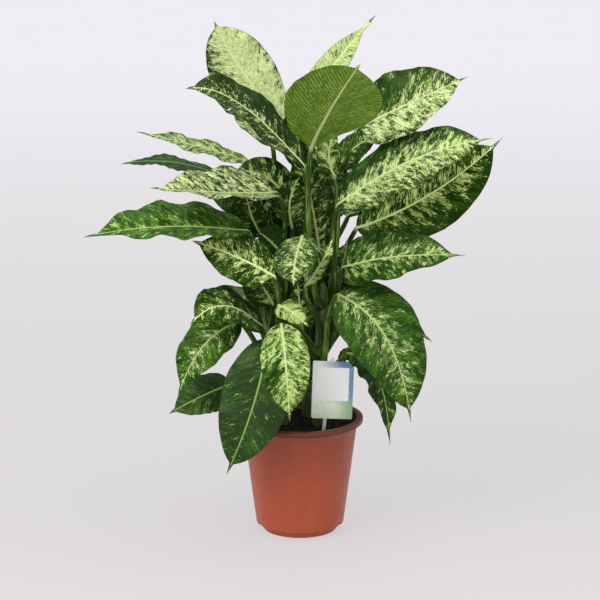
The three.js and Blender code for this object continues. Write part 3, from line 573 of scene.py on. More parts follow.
leaves = {
    "leaf_crown_left": leafRow("rear", 378, (-23, 46, 674), (-95, 42, 762), (-138, 32, 843), 104,
        (0.1, -0.95, 0.3), 0.96, 0.46, 0.2, 0.96, wave=3, peak=1.05, taper=0.1, lean=0.2, fine=1.5),
    "leaf_crown_left_arched": leafRow("left", 395, (5, -14, 615), (-99, -20, 719), (-181, -52, 747),
        92, (-0.1, -0.45, 0.9), 0.28, 0.04, 0.12, 1.35, fold=16, taper=0.6, lean=-0.15, fine=1.3),
    "leaf_crown_back": leafRow("back", 425, (17, 60, 696), (50, 70, 760), (124, 80, 846), 52,
        (0, -0.95, 0.2), 1.0, 0.8, 0.6, 0.8, fold=14, wave=3, peak=0.7, taper=1),
    "leaf_crown_front": leafRow("front", 400, (18, -38, 651), (50, -98, 726), (95, -126, 801), 166,
        (-0.1, 0.72, 0.7), 0.25, 0, 0.5, 0.3, fold=8, wave=3, waves=2, turn=12, peak=1.45, taper=0,
        fine=1.15),
    "leaf_crown_right": leafRow("back", 400, (94, 22, 670), (174, 0, 714), (268, -25, 762), 128,
        (0, -0.75, 0.66), 0.6, 0.26, 0.3, 0.9, fold=20, taper=0.2, lean=0.25, fine=1.2,
        patches=((0.2, -0.7, 0.2, 0.5),)),
    "leaf_crown_right_inner": leafRow("back", 375, (59, 48, 593), (88, 54, 631), (134, 62, 653), 54,
        (0.2, -0.5, 0.8), 0.25, 0.08, 0.3, 0.3, wave=2, waves=2, turn=50),
    "leaf_crown_young": leafRow("front", 378, (55, -8, 601), (47, -12, 639), (63, -10, 676), 44,
        (-0.3, -0.95, 0.1), 0.6, 0.35, 0.5, 0.6, fold=34, wave=2, waves=2, turn=20),
    "leaf_right_high": leafRow("front", 356, (62, -25, 553), (180, -54, 633), (305, -72, 671), 118,
        (0, -0.6, 0.8), 0.62, 0.2, 0.36, 0.78, wave=5, turn=16, taper=0.3, lean=0.1, fine=1.3,
        patches=((0.15, -0.8, 0.15, 0.4),)),
    "leaf_right_high_under": leafRow("back", 350, (93, 30, 503), (213, 16, 563), (326, -8, 660),
        124, (0.1, -0.88, 0.45), 0.46, -0.12, 0.5, 2, peak=1, taper=0.25),
    "leaf_right_middle": leafRow("front", 325, (70, -34, 451), (154, -70, 478), (263, -101, 487),
        108, (0, -0.65, 0.75), 0.4, 0.02, 0.4, 0.6, fold=16, wave=5, peak=0.62, fine=1.3),
    "leaf_right_low": leafRow("front", 296, (61, -62, 413), (139, -106, 351), (178, -122, 217), 132,
        (0.35, -0.85, 0.35), 0.42, -0.1, 0.7, 0.8, wave=3, turn=-15, taper=0.1, grey=0.03,
        patches=((0.2, -0.8, 0.2, 0.4),)),
    "leaf_right_low_behind": leafRow("back", 265, (85, 22, 356), (157, 24, 347), (217, 12, 315), 50,
        (0.2, -0.6, 0.75), 0.3, 0.1, 0.4, 0.3, wave=3, waves=2),
    "leaf_right_hanging": leafRow("front", 250, (77, -36, 307), (125, -55, 277), (147, -62, 159),
        60, (0.45, -0.75, 0.35), 0.2, 0.03, 0.4, 0.3, fold=14, wave=6, waves=4, grey=0.03),
    "leaf_right_spur": leafRow("back", 280, (82, 40, 443), (156, 36, 478), (239, 28, 502), 46,
        (0, -0.5, 0.86), 0.2, 0.1, 0.2, 0.3, wave=2, waves=2, turn=20),
    "leaf_right_small": leafRow("back", 245, (62, -6, 286), (82, -16, 302), (106, -24, 287), 34,
        (0, -0.6, 0.8), 0.4, 0.4, 1.0, 0, wave=2, waves=2),
    "leaf_left_long": leafRow("left", 335, (-83, -52, 515), (-213, -96, 533), (-341, -132, 524),
        112, (0, -0.38, 0.92), 0.3, 0.16, 0.65, 0.3, fold=22, wave=5, waves=4, turn=-35, fine=1.2),
    "leaf_left_long_under": leafRow("left", 300, (-42, -67, 445), (-102, -75, 479),
        (-173, -69, 504), 82, (-0.1, -0.8, 0.55), 0.52, 0.04, 0.4, 1.8, turn=-10, fine=1.3),
    "leaf_front_centre": leafRow("left", 372, (4, -64, 510), (-8, -122, 481), (-10, -152, 449), 72,
        (-0.1, -0.6, 0.8), 0.5, 0.16, 0.3, 0.8, wave=3, waves=2, turn=25, fine=1.5),
    "leaf_front_centre_dark": leafRow("left", 345, (-30, -28, 475), (-54, -30, 500),
        (-66, -30, 508), 56, (0, -0.95, 0.3), 0.1, 0.02, 0.2, 0.3, fold=8, wave=2, waves=2),
    "leaf_left_high": leafRow("left", 365, (-37, -32, 574), (-137, -72, 584), (-237, -102, 597),
        120, (0, -0.3, 0.95), 0.54, 0.46, 0.0, 1, fold=26, turn=-130, peak=0.66, fine=1.75),
    "leaf_left_high_narrow": leafRow("rear", 360, (-82, 60, 606), (-168, 40, 637), (-264, 18, 665),
        70, (0.15, -0.2, 1), 0.56, 0.4, 0.6, 0.7, wave=3, turn=15, taper=0.6, fine=1.3),
    "leaf_left_high_far": leafRow("rear", 335, (-138, 88, 582), (-218, 86, 602), (-294, 76, 600),
        66, (0, -0.12, 1), 0, 0, 0.5, 0.3, fold=8, wave=3, waves=2, turn=-20),
    "leaf_left_inner": leafRow("left", 380, (-62, 22, 538), (-101, 24, 558), (-155, 32, 554), 84,
        (0, -0.8, 0.6), 0.15, 0.05, 0.3, 0.3, wave=2, waves=2, turn=40),
    "leaf_left_low_arched": leafRow("left", 268, (-62, -52, 357), (-122, -90, 402),
        (-175, -126, 379), 98, (-0.1, -0.6, 0.8), 0.34, 0, 0.5, 1.6, turn=-25, peak=0.62),
    "leaf_left_low": leafRow("left", 240, (-97, -54, 366), (-156, -76, 331), (-197, -92, 251), 80,
        (-0.35, -0.85, 0.4), 0.36, 0.04, 0.6, 0.7, fold=12, turn=-40, fine=1.2),
    "leaf_left_lowest": leafRow("rear", 225, (-113, -6, 248), (-161, -22, 232), (-214, -38, 207),
        76, (-0.1, -0.7, 0.7), 0.02, 0, 0.5, 0.7, fold=8, wave=2, waves=2, grey=0.06),
    "leaf_front_low": leafRow("left", 250, (-52, -82, 345), (-74, -128, 250), (-118, -142, 136),
        112, (-0.1, -0.92, 0.3), 0.0, -0.06, 0.42, 0.5, fold=8, turn=10, peak=0.92, taper=0.1,
        grey=0.07),
    "leaf_front_low_mottled": leafRow("left", 290, (-30, -122, 380), (-22, -168, 317),
        (-16, -187, 238), 80, (0, -0.9, 0.45), 0.6, 0.4, 0.5, 0.6, fold=8, wave=2, waves=2, turn=30,
        peak=0.85, taper=0.3, fine=1.3, patches=((0.44, 0.62, 0.13, 0.42),)),
    "leaf_front_small": leafRow("front", 312, (-34, -76, 398), (-14, -98, 394), (14, -112, 373), 42,
        (0.2, -0.8, 0.5), 0.75, 0.5, 0.5, 0.5, wave=2, waves=2),
    "leaf_front_upright": leafRow("front", 338, (10, -80, 432), (35, -78, 471), (53, -64, 508), 30,
        (-0.6, -0.8, 0.1), 0.6, 0.3, 0.4, 0.5, fold=14, wave=2, waves=2, turn=20, fine=1.4),
    "leaf_inner_upright": leafRow("back", 320, (34, 10, 455), (18, 10, 555), (-2, 14, 652), 80,
        (0, -0.95, 0.2), 0.36, 0.1, 0, 0.4, wave=3),
    "leaf_inner_left": leafRow("back", 340, (-16, 18, 547), (-58, 22, 591), (-111, 28, 597), 66,
        (0, -0.9, 0.4), 0.4, 0.12, 0, 0.4, wave=2, waves=2),
    "leaf_inner_low": leafRow("back", 300, (8, 10, 415), (-25, 12, 392), (-60, 14, 360), 60,
        (0, -0.95, 0.2), 0.3, 0.1, 0, 0.3, wave=2, waves=2),
    "leaf_inner_right": leafRow("back", 392, (48, 23, 520), (56, 17, 575), (50, 11, 636), 58,
        (0.1, -0.95, 0.1), 0.35, 0.1, 0, 0.4, wave=2, waves=2, turn=-40, fine=1.4),
    "leaf_inner_low_left": leafRow("left", 312, (-44, -47, 395), (-64, -53, 432), (-86, -57, 470),
        66, (0, -0.95, 0.2), 0.38, 0.1, 0, 0.4, wave=2, waves=2, turn=-40, fine=1.4),
    "leaf_inner_low_right": leafRow("back", 319, (52, 20, 395), (68, 12, 440), (78, 8, 490), 56,
        (0, -0.95, 0.1), 0.4, 0.12, 0, 0.4, wave=2, waves=2, turn=20, fine=1.4),
    "leaf_inner_low_front": leafRow("front", 280, (4, -30, 345), (0, -42, 385), (-4, -46, 430), 50,
        (0, -0.95, 0.1), 0.45, 0.15, 0.1, 0.4, wave=2, waves=2, fine=1.4),
    "leaf_inner_middle": leafRow("left", 330, (-28, 38, 450), (-42, 32, 495), (-50, 32, 540), 56,
        (0, -0.95, 0.1), 0.28, 0.08, 0, 0.3, wave=2, waves=2, turn=-20, fine=1.4),
    "leaf_inner_top": leafRow("back", 412, (8, 44, 600), (-4, 40, 650), (-24, 40, 700), 60,
        (0, -0.95, 0.2), 0.3, 0.1, 0, 0.3, wave=2, waves=2, turn=20),
    "leaf_inner_crown": leafRow("back", 396, (36, 26, 567), (29, 30, 613), (42, 40, 657), 60,
        (0, -0.95, 0.2), 0.4, 0.15, 0, 0.6, wave=2, waves=2, turn=-85, fine=1.4),
    "leaf_inner_side": leafRow("left", 364, (-62, -2, 497), (-78, -8, 531), (-87, -6, 567), 54,
        (-0.1, -0.95, 0.2), 0.32, 0.1, 0, 0.3, wave=2, waves=2, turn=85),
    "leaf_inner_centre": leafRow("left", 400, (-13, 0, 513), (-16, -6, 557), (0, -4, 596), 56,
        (0, -0.95, 0.1), 0.32, 0.1, 0, 0.4, wave=2, waves=2, turn=20, fine=1.4),
    "leaf_rear_high": leafRow("back", 388, (0, 110, 615), (0, 190, 665), (-10, 270, 665), 104,
        (0, 0.2, 1), 0.75, 0.4, 0.5, 0.6, turn=40),
    "leaf_rear_right": leafRow("back", 352, (80, 110, 505), (150, 170, 530), (210, 225, 505), 100,
        (0, 0.1, 1), 0.55, 0.15, 0.4, 0.5, turn=65),
    "leaf_rear_left": leafRow("rear", 290, (-110, 110, 475), (-165, 165, 495), (-215, 215, 470),
        100, (0, 0.1, 1), 0.55, 0.15, 0.4, 0.5),
    "leaf_rear_low_left": leafRow("rear", 260, (-70, 105, 375), (-88, 170, 362), (-106, 225, 303),
        92, (0, 0.4, 0.9), 0.4, 0.06, 0.4, 0.3),
    "leaf_rear_low_right": leafRow("back", 240, (55, 95, 365), (90, 160, 360), (120, 215, 295), 92,
        (0, 0.4, 0.9), 0.45, 0.1, 0.4, 0.4),
    "leaf_rear_crown": leafRow("rear", 395, (-45, 88, 628), (-80, 150, 675), (-115, 215, 670), 92,
        (0, 0.1, 1), 0.75, 0.4, 0.5, 0.7, turn=20),
    "leaf_rear_middle": leafRow("back", 300, (-20, 110, 500), (-40, 178, 525), (-60, 245, 510), 96,
        (0, 0.1, 1), 0.55, 0.2, 0.4, 0.5),
    "leaf_rear_low_middle": leafRow("back", 215, (-5, 105, 335), (-10, 168, 338), (-15, 225, 285),
        84, (0, 0.4, 0.9), 0.45, 0.08, 0.4, 0.4),
}

leafKind = {
    # the middle line and the petiole
    "petioleFoot": 6, "petioleBlade": 3.8, "spread": 0.45, "spring": 0.45, "springMost": 50,
    "rise": 1.2, "arrival": 0.3, "clear": 0.21, "sheath": 14, "sheathInset": 0.35, "flare": 0.55,
    # the blade's outline
    "roundness": 0.52, "dripShare": 0.07, "dripHalf": 3.2, "leastHalf": 0.4, "marginColumn": 0.985,
    # its fold, waves, ripples and quilting
    "foldSoft": 0.04, "opening": 0.04, "droop": 0.12, "waveShift": 1.3, "waveSwell": 0.7,
    "ripple": 0.9, "ripples": (8, 11), "quilt": 0.35, "quiltFrom": 8, "veinStep": 13,
    "veinLean": 0.66,
    # its thickness
    "thinning": 0.45, "skin": 0.42, "leastSkin": 0.02, "ribDeep": 1.4, "ribTaper": 0.8,
    "ribSink": 0.16, "channel": 0.3, "groove": 0.25, "grooveHalf": 1.3,
    # points along and across
    "sheathRows": 6, "petioleRows": 22, "bladeRows": 84, "halfColumns": 32,
    # where its pattern lies
    "paleFall": 1.6, "paleStart": 0.5, "paleGain": 8, "petiolePale": 0.4, "tipEdgeFrom": 0.8,
    "tipEdgeRun": 0.14, "ribHalf": 0.6, "ribWiden": 1.7, "halfShift": 31.0, "leafShift": 7.3,
    "stalkAcross": 4, "stalkUnder": 9, "stalkAlong": 0.35,
    # colours; those for a leaf in shade are painted light that lightens its pale and its midrib
    "deep": (12, 36, 4), "deepLight": (24, 58, 6), "middle": (36, 76, 8),
    "middleLight": (80, 128, 26), "pale": (152, 184, 80), "paleLight": (214, 223, 168),
    "palePaintedLight": (236, 255, 160), "speckle": (124, 160, 42), "dull": (110, 108, 112),
    "rib": (136, 166, 88), "ribLight": (214, 222, 160), "ribPaintedLight": (240, 255, 184),
    "margin": (48, 54, 32), "back": (46, 80, 10), "backLight": (108, 142, 38),
    "backFleck": (150, 174, 92), "backVein": (178, 200, 118), "backRib": (198, 210, 150),
    "stalk": (38, 62, 18), "stalkLight": (104, 132, 60),
}


def bezier(points, t):
    # A Bezier curve of three or four points, and its slope, at all the values of t
    t = t[:, None]
    if len(points) == 3:
        a, b, c = points
        place = (1 - t) ** 2 * a + 2 * t * (1 - t) * b + t * t * c
        return place, 2 * (1 - t) * (b - a) + 2 * t * (c - b)
    a, b, c, d = points
    place = (1 - t) ** 3 * a + 3 * t * (1 - t) ** 2 * b + 3 * t * t * (1 - t) * c + t ** 3 * d
    slope = 3 * (1 - t) ** 2 * (b - a) + 6 * t * (1 - t) * (c - b) + 3 * t * t * (d - c)
    return place, slope


def leafPath(leaf):
    # The leaf's middle line: out of the cane as a sheath, up and over as the petiole, then along
    # the midrib. Gives its points and directions in millimetres, how far each row is before the
    # blade (-1 to 0 in the sheath, 0 to 1 in the petiole) and its share of the blade. The blade's
    # rows crowd a little towards both ends.
    shape = leafKind
    base, middle, tip = (np.array(leaf[key], dtype=float) for key in ("base", "mid", "tip"))
    pull = 2 * middle - (base + tip) / 2
    plan, radius = caneAt(canes[leaf["cane"]], leaf["node"])
    centre = np.array([*plan, leaf["node"]])
    outward = base - centre
    outward = unit(np.array([outward[0], outward[1], 0.0]))
    turn = math.radians(leaf["turn"])
    outward = np.array([outward[0] * math.cos(turn) - outward[1] * math.sin(turn),
                        outward[0] * math.sin(turn) + outward[1] * math.cos(turn), 0.0])
    rise = unit(outward * shape["spread"] + up)
    foot = centre + outward * (radius + shape["petioleFoot"] * rise[2] + shape["clear"])
    reach = np.linalg.norm(foot - base)
    arrival = unit(unit(pull - base) + up * shape["rise"])
    spring = foot + rise * min(shape["spring"] * reach, shape["springMost"])
    petiole = [foot, spring, base - arrival * shape["arrival"] * reach, base]
    inside = centre + outward * shape["sheathInset"] * radius - up * shape["sheath"]
    sheath = [inside, foot - rise * 0.5 * shape["sheath"], foot]
    sheathShare = np.arange(shape["sheathRows"]) / shape["sheathRows"]
    petioleShare = np.arange(shape["petioleRows"]) / shape["petioleRows"]
    even = np.arange(shape["bladeRows"] + 1) / shape["bladeRows"]
    bladeShare = 0.6 * even + 0.4 * (0.5 - 0.5 * np.cos(np.pi * even))
    parts = [bezier(sheath, sheathShare), bezier(petiole, petioleShare),
             bezier([base, pull, tip], bladeShare)]
    points = np.concatenate([part[0] for part in parts])
    tangents = unit(np.concatenate([part[1] for part in parts]))
    before = np.concatenate([sheathShare - 1, petioleShare, 1 + 0 * bladeShare])
    along = np.concatenate([0 * sheathShare, 0 * petioleShare, bladeShare])
    return points, tangents, before, along


def leafNormals(leaf, points, tangents):
    # The upper side's direction, set at the blade's middle and carried both ways without turning
    # about the path, by two reflections a step
    middle = len(points) - 1 - leafKind["bladeRows"] // 2
    normals = np.zeros_like(points)
    face = np.array(leaf["face"], dtype=float)
    normals[middle] = unit(face - tangents[middle] * (face @ tangents[middle]))

    def carry(start, end):
        step = points[end] - points[start]
        flipped = normals[start] - step * 2 * (normals[start] @ step) / (step @ step)
        turned = tangents[start] - step * 2 * (tangents[start] @ step) / (step @ step)
        bend = tangents[end] - turned
        normals[end] = flipped - bend * 2 * (flipped @ bend) / max(bend @ bend, 1e-12)

    for i in range(middle, 0, -1):
        carry(i, i - 1)
    for i in range(middle, len(points) - 1):
        carry(i, i + 1)
    return normals


def leafGrid(leaf, seed):
    # The leaf as rings of points about its middle line. Across a ring, u goes from -1 at the left
    # margin over the upper side to 1 at the right margin, and back under it, in columns that crowd
    # towards the midrib.
    # Half width: half * sin(pi * w ^ peak) ^ (roundness + taper * w ^ 8), w being the share of the
    # blade up to its drip tip, which then shrinks evenly over the last stretch.
    # Lift: u * half * sin(fold) less a droop that grows as u squared, plus waves and ripples that
    # grow towards the margin and a low quilting between the lateral veins, which lean to the tip.
    # Thickness: a thin skin, or the round of the midrib under it and of the petiole where that is
    # thicker, with a channel along the petiole's upper side and a groove over the midrib.
    shape = leafKind
    points, tangents, before, along = leafPath(leaf)
    normals = leafNormals(leaf, points, tangents)
    sides = unit(np.cross(tangents, normals))
    even = np.linspace(-1, 1, shape["halfColumns"] + 1)
    across = even * (0.45 + 0.55 * np.abs(even))
    last = shape["marginColumn"]
    upper = np.concatenate([[-1, -last], across[1:-1], [last]])
    u = np.concatenate([upper, -upper])[None, :]
    atMargin = np.abs(u) > 0.999
    under = np.concatenate([0 * upper, 1 + 0 * upper])[None, :] * ~atMargin
    v = along[:, None]
    onBlade = (before >= 1)[:, None]

    foot, blade = shape["petioleFoot"], shape["petioleBlade"]
    flare = foot * (1 + shape["flare"] * np.clip(-before, 0, 1))
    stalk = np.where(before < 0, flare, foot + np.clip(before, 0, 1) * (blade - foot))[:, None]
    onBody = np.clip(v / (1 - shape["dripShare"]), 0, 1)
    swell = np.clip(np.sin(np.pi * onBody ** leaf["peak"]), 0, 1)
    width = leaf["width"] / 2 * swell ** (shape["roundness"] + leaf["taper"] * onBody ** 8)
    width = np.maximum(width, blade * (1 - 12 * v))
    drip = shape["dripHalf"] * np.clip((1 - v) / shape["dripShare"], 0, 1)
    half = np.maximum(width, np.maximum(drip, shape["leastHalf"]))
    half = np.where(onBlade, half, stalk)
    x = u * half

    thin = 1 - shape["thinning"] * v
    skin = shape["skin"] * thin * np.clip(1 - np.abs(u) ** 6, 0, 1) + shape["leastSkin"]
    ribWide = np.where(onBlade, blade * (1 - shape["ribTaper"] * v), stalk)
    ribRound = np.sqrt(np.clip(1 - (x / ribWide) ** 2, 0, 1))
    ribDown = (shape["ribDeep"] + (blade - shape["ribDeep"]) * (1 - v) ** 6) * thin
    ribDown = np.where(onBlade, ribDown, stalk)
    ribUp = np.where(onBlade, blade * np.clip(1 - v / shape["ribSink"], 0, 1) ** 2, stalk)
    channel = shape["channel"] * ribUp * np.exp(-(x / (0.4 * ribWide)) ** 2)
    channel = channel * np.clip(before[:, None] * 3, 0, 1)
    groove = shape["groove"] * np.exp(-(x / shape["grooveHalf"]) ** 2)
    groove = groove * np.clip((v - 0.1) * 10, 0, 1)
    top = np.maximum(skin * onBlade, ribUp * ribRound) - channel - groove
    bottom = np.maximum(skin * onBlade, ribDown * ribRound)
    thick = np.where(atMargin, 0, np.where(under > 0.5, -bottom, top))

    soft, fold = shape["foldSoft"], math.radians(leaf["fold"])
    bend = np.sqrt(u * u + soft ** 2) - soft
    phase = 2 * np.pi * leaf["waves"] * v + np.where(u > 0, shape["waveShift"], 0)
    wave = leaf["wave"] * np.sin(np.pi * v) ** shape["waveSwell"] * u * u * np.sin(phase)
    draw = np.random.default_rng(seed)
    count, start = draw.uniform(*shape["ripples"], 2), draw.uniform(0, 2 * np.pi, 2)
    side = (u > 0).astype(int)
    ripple = shape["ripple"] * np.sin(np.pi * v) * u ** 4
    ripple = ripple * np.sin(2 * np.pi * count[side] * v + start[side])
    steps = np.linalg.norm(np.diff(points, axis=0), axis=1)
    run = np.concatenate([[0], np.cumsum(steps)])
    run = (run - run[np.argmax(before >= 1)])[:, None]
    vein = run - shape["veinLean"] * np.abs(x)
    quilt = shape["quilt"] * np.cos(2 * np.pi * vein / shape["veinStep"])
    quilt = quilt * np.clip(np.abs(x) / shape["quiltFrom"], 0, 1)
    quilt = quilt * (1 - u ** 4) * np.sin(np.pi * v)
    lift = bend * half * math.sin(fold) - shape["droop"] * half * u * u + wave + ripple + quilt
    opening = np.clip(v / shape["opening"], 0, 1)
    lift = lift * onBlade * opening
    narrowed = np.where(onBlade, 1 + (math.cos(fold) - 1) * opening, 1)
    rings = (points[:, None] + sides[:, None] * (x * narrowed)[..., None]
             + normals[:, None] * (lift + thick)[..., None])
    return rings, dict(u=u + 0 * v, v=v + 0 * u, x=x, vein=vein, under=under + 0 * v,
                       blade=onBlade + 0.0 * u)


def buildLeaf(name, leaf, number):
    # The leaf's skin, with what its material reads at each point: where it is along and across the
    # lateral veins (shifted so that no two halves or leaves share a pattern), how much of it is
    # pale, its greens, and whether it is the underside or the petiole
    kind = leafKind
    rings, grid = leafGrid(leaf, number)
    piece = ringSkin(name + "_fine", rings * mm)
    u, v, vein, under, blade = (grid[key] for key in ("u", "v", "vein", "under", "blade"))
    far, onStalk = np.abs(grid["x"]), blade < 0.5
    inner = 1 - np.abs(u) ** kind["paleFall"]
    pale = leaf["rim"] + (leaf["pale"] - leaf["rim"]) * inner + leaf["lean"] * u
    for place, side, longSize, wideSize in leaf["patches"]:
        away = ((vein / vein.max() - place) / longSize) ** 4 + ((u - side) / wideSize) ** 4
        pale = pale * (1 - np.exp(-away))
    pale = pale * np.clip(kind["paleStart"] + kind["paleGain"] * v, 0, 1)
    pale = np.where(onStalk, kind["petiolePale"], pale)
    nearTip = np.clip((v - kind["tipEdgeFrom"]) / kind["tipEdgeRun"], 0, 1) * blade
    first = np.where(onStalk, kind["stalkAcross"] * u + kind["stalkUnder"] * under, vein)
    second = np.where(onStalk, kind["stalkAlong"] * vein, far)
    third = np.where(u > 0, kind["halfShift"], 0.0) + kind["leafShift"] * number

    def ends(values):
        return np.concatenate([values.ravel(), [values[0].mean(), values[-1].mean()]])

    place = np.stack([ends(first), ends(second), ends(third)], -1)
    place = place * np.array([leaf["fine"], leaf["fine"], 1.0])
    addValues(piece, "veinPlace", place, "FLOAT_VECTOR")
    addValues(piece, "paleShare", ends(pale))
    addValues(piece, "ribPlace", ends(far / (kind["ribHalf"] + kind["ribWiden"] * (1 - v))))
    addValues(piece, "edgeShare", ends(np.maximum(np.abs(u), nearTip)))
    addValues(piece, "underside", ends(under))
    addValues(piece, "onBlade", ends(blade))
    for label, key in (("greenTone", "tone"), ("creamTone", "cream"), ("greyShare", "grey")):
        addValues(piece, label, np.full(len(place), leaf[key]))
    return piece


def leafMaterial():
    # Upper side: dark green with pale flecks drawn out along the lateral veins, a pale midrib and a
    # thin dark margin. Underside: soft green with light lateral veins, where the flecks show
    # through faintly. Petiole: green with fine pale streaks.
    colours = leafKind
    material, tree, surface = newMaterial("variegatedLeaf")

    def read(name, output="Fac"):
        return put(tree, "ShaderNodeAttribute", attribute_name=name).outputs[output]

    place = read("veinPlace", "Vector")
    pale, edge, under, ribPlace = (read(name) for name in
                                   ("paleShare", "edgeShare", "underside", "ribPlace"))
    blade, tone, cream, dull = (read(name) for name in
                                ("onBlade", "greenTone", "creamTone", "greyShare"))
    # Past a cream of 1, painted light lightens the pale and the midrib of a leaf that hangs in
    # shade
    paintedLight = minus(tree, cream, 1.0)
    flecks = placeGroup(tree, streaks, {"Where": stretched(tree, place, (0.7, 0.17, 1.0)),
                                        "Amount": pale, "Softness": 0.03})
    half = sums(tree, "MULTIPLY_ADD", tone, 0.6, times(tree, pale, 0.3))
    soft = placeGroup(tree, streaks, {"Where": stretched(tree, place, (0.5, 0.1, 2.0)),
                                      "Amount": half, "Softness": 0.09})

    # Upper side: two greens, the flecks with speckles in them, the midrib and the margin
    deep = blend(tree, tone, colours["deep"], colours["deepLight"])
    middle = blend(tree, tone, colours["middle"], colours["middleLight"])
    bright = blend(tree, cream, colours["pale"], colours["paleLight"])
    bright = blend(tree, paintedLight, bright, colours["palePaintedLight"])
    bright = blend(tree, ramp(tree, soft["Fine"], 0.36, 0.56), colours["speckle"], bright)
    colour = blend(tree, times(tree, soft["Mask"], 0.85), deep, middle)
    colour = blend(tree, dull, colour, colours["dull"])
    colour = blend(tree, flecks["Mask"], colour, bright)
    rib = blend(tree, pale, colours["rib"], colours["ribLight"])
    rib = blend(tree, paintedLight, rib, colours["ribPaintedLight"])
    colour = blend(tree, times(tree, ramp(tree, ribPlace, 0.7, 1.2, 1.0, 0.0), 0.92), colour, rib)
    colour = blend(tree, ramp(tree, edge, 0.965, 0.99, 0.0, 0.7), colour, colours["margin"])

    # Lateral veins: a sharp wave of the place along the midrib, fainter in broad patches
    wobble = times(tree, soft["Fine"], 3.6)
    turns = plus(tree, times(tree, split(tree, place)["X"], 0.483), wobble)
    vein = sums(tree, "POWER", sums(tree, "ABSOLUTE", sums(tree, "SINE", turns)), 9.0)
    vein = times(tree, vein, ramp(tree, soft["Fine"], 0.38, 0.6, 0.12, 1.0))
    vein = times(tree, vein, ramp(tree, noise(tree, place, 0.045), 0.36, 0.6, 0.2, 1.0))

    back = blend(tree, ramp(tree, flecks["Fine"], 0.35, 0.65), colours["back"],
                 colours["backLight"])
    for share, name in ((times(tree, flecks["Mask"], 0.4), "backFleck"),
                        (times(tree, vein, 0.9), "backVein"),
                        (ramp(tree, ribPlace, 1.1, 1.7, 0.8, 0.0), "backRib")):
        back = blend(tree, share, back, colours[name])
    colour = blend(tree, ramp(tree, under, 0.4, 0.6), colour, back)
    stalk = blend(tree, soft["Mask"], colours["stalk"], colours["stalkLight"])
    colour = blend(tree, blade, stalk, colour)

    gloss = plus(tree, ramp(tree, flecks["Fine"], 0.3, 0.7, 0.3, 0.42), times(tree, under, 0.16))
    height = plus(tree, times(tree, flecks["Fine"], 0.5), times(tree, vein, -0.5))
    feed(tree, surface, {
        "Base Color": colour, "Roughness": gloss, "Normal": relief(tree, height, 0.35, 0.7 * mm),
        "Specular IOR Level": 0.22, "Specular Tint": (0.55, 0.85, 0.25, 1.0),
        "Subsurface Weight": 0.1, "Subsurface Radius": (0.002, 0.004, 0.001)})
    return material


bark = caneMaterial()
for name, cane in canes.items():
    lowest = min(leaf["node"] for leaf in leaves.values() if leaf["cane"] == name)
    piece = buildCane("caneStem_" + name, cane, lowest - caneKind["belowLeaf"])
    piece.data.materials.append(bark)
    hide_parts("cane_" + name)
    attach(piece, "root")
print("canes ready")

leafSkin = leafMaterial()
for number, (name, leaf) in enumerate(leaves.items()):
    piece = buildLeaf(name, leaf, number)
    piece.data.materials.append(leafSkin)
    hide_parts(name)
    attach(piece, "root")
print("leaves ready:", len(leaves))


# Plant tag: a printed card with rounded corners on a thin stake, with a small hook over its top
# edge. The hook's strip is given by half its width and thickness.

tag = {
    "width": 67, "height": 97, "thick": 0.8, "corner": 2, "centre": (53, -48, 250), "lean": 2,
    "curl": 0.5, "rows": 40, "cornerRows": 7, "columns": 29,
    "stakeWidth": 6, "stakeThick": 1.2, "stakeTaper": 50, "stakeFoot": (33, -47.1, 135),
    "stakeHead": (53, -47.1, 303), "stakeSides": 20, "stakeSquare": (0.35, 0.6),
    "hookWide": 2.4, "hookThick": 0.35, "hookBehind": 8, "hookBefore": 7, "hookReach": 1.05,
    "hookRise": 1.6, "hookSides": 16, "hookSquare": (0.4, 0.6),
    # colours
    "sky": (244, 253, 250), "skyDeep": (108, 150, 186), "blue": (58, 90, 142),
    "cloud": (214, 226, 234), "leafy": (222, 252, 204), "leafyLight": (254, 255, 246),
    "leafyDeep": (124, 166, 98), "panel": (255, 255, 255), "back": (236, 236, 232),
    "stake": (226, 226, 220), "stakeLight": (240, 240, 236),
}


def buildCard():
    # A thin slab whose outline is a rectangle with round corners: near the top and bottom its half
    # width shrinks as a quarter circle. It bows forward a little in the middle, and leans about the
    # card's centre.
    w, h, corner = tag["width"] / 2, tag["height"] / 2, tag["corner"]
    inner = np.linspace(-h + corner, h - corner, tag["rows"])
    arc = corner * (1 - np.cos(np.linspace(0.05, np.pi / 2, tag["cornerRows"])))
    z = np.concatenate([-h + arc, inner[1:-1], h - arc[::-1]])
    over = np.clip(np.abs(z) - (h - corner), 0, corner)
    halfWide = w - corner + np.sqrt(corner ** 2 - over ** 2)
    u = np.concatenate([[-1], np.linspace(-0.99, 0.99, tag["columns"]), [1]])
    across = np.concatenate([u[:-1], -u[:-1]])
    side = np.concatenate([np.full(len(u) - 1, -1.0), np.full(len(u) - 1, 1.0)])
    side[[0, len(u) - 1]] = 0
    x = halfWide[:, None] * across[None, :]
    y = side * tag["thick"] / 2 - tag["curl"] * (1 - across ** 2)
    y = y[None, :] + 0 * x
    z = z[:, None] + 0 * x
    lean = math.radians(tag["lean"])
    cx, cy, cz = tag["centre"]
    rings = np.stack([cx + x * math.cos(lean) + z * math.sin(lean), cy - tag["thick"] / 2 + y,
                      cz + z * math.cos(lean) - x * math.sin(lean)], -1)
    piece = ringSkin("tagCard", rings * mm)
    spot = np.stack([x / (2 * w) + 0.5, z / (2 * h) + 0.5, 0 * x + (side <= 0)], -1).reshape(-1, 3)
    addValues(piece, "cardPlace", np.concatenate([spot, [[0.5, 0, 1], [0.5, 1, 1]]]),
              "FLOAT_VECTOR")
    return piece


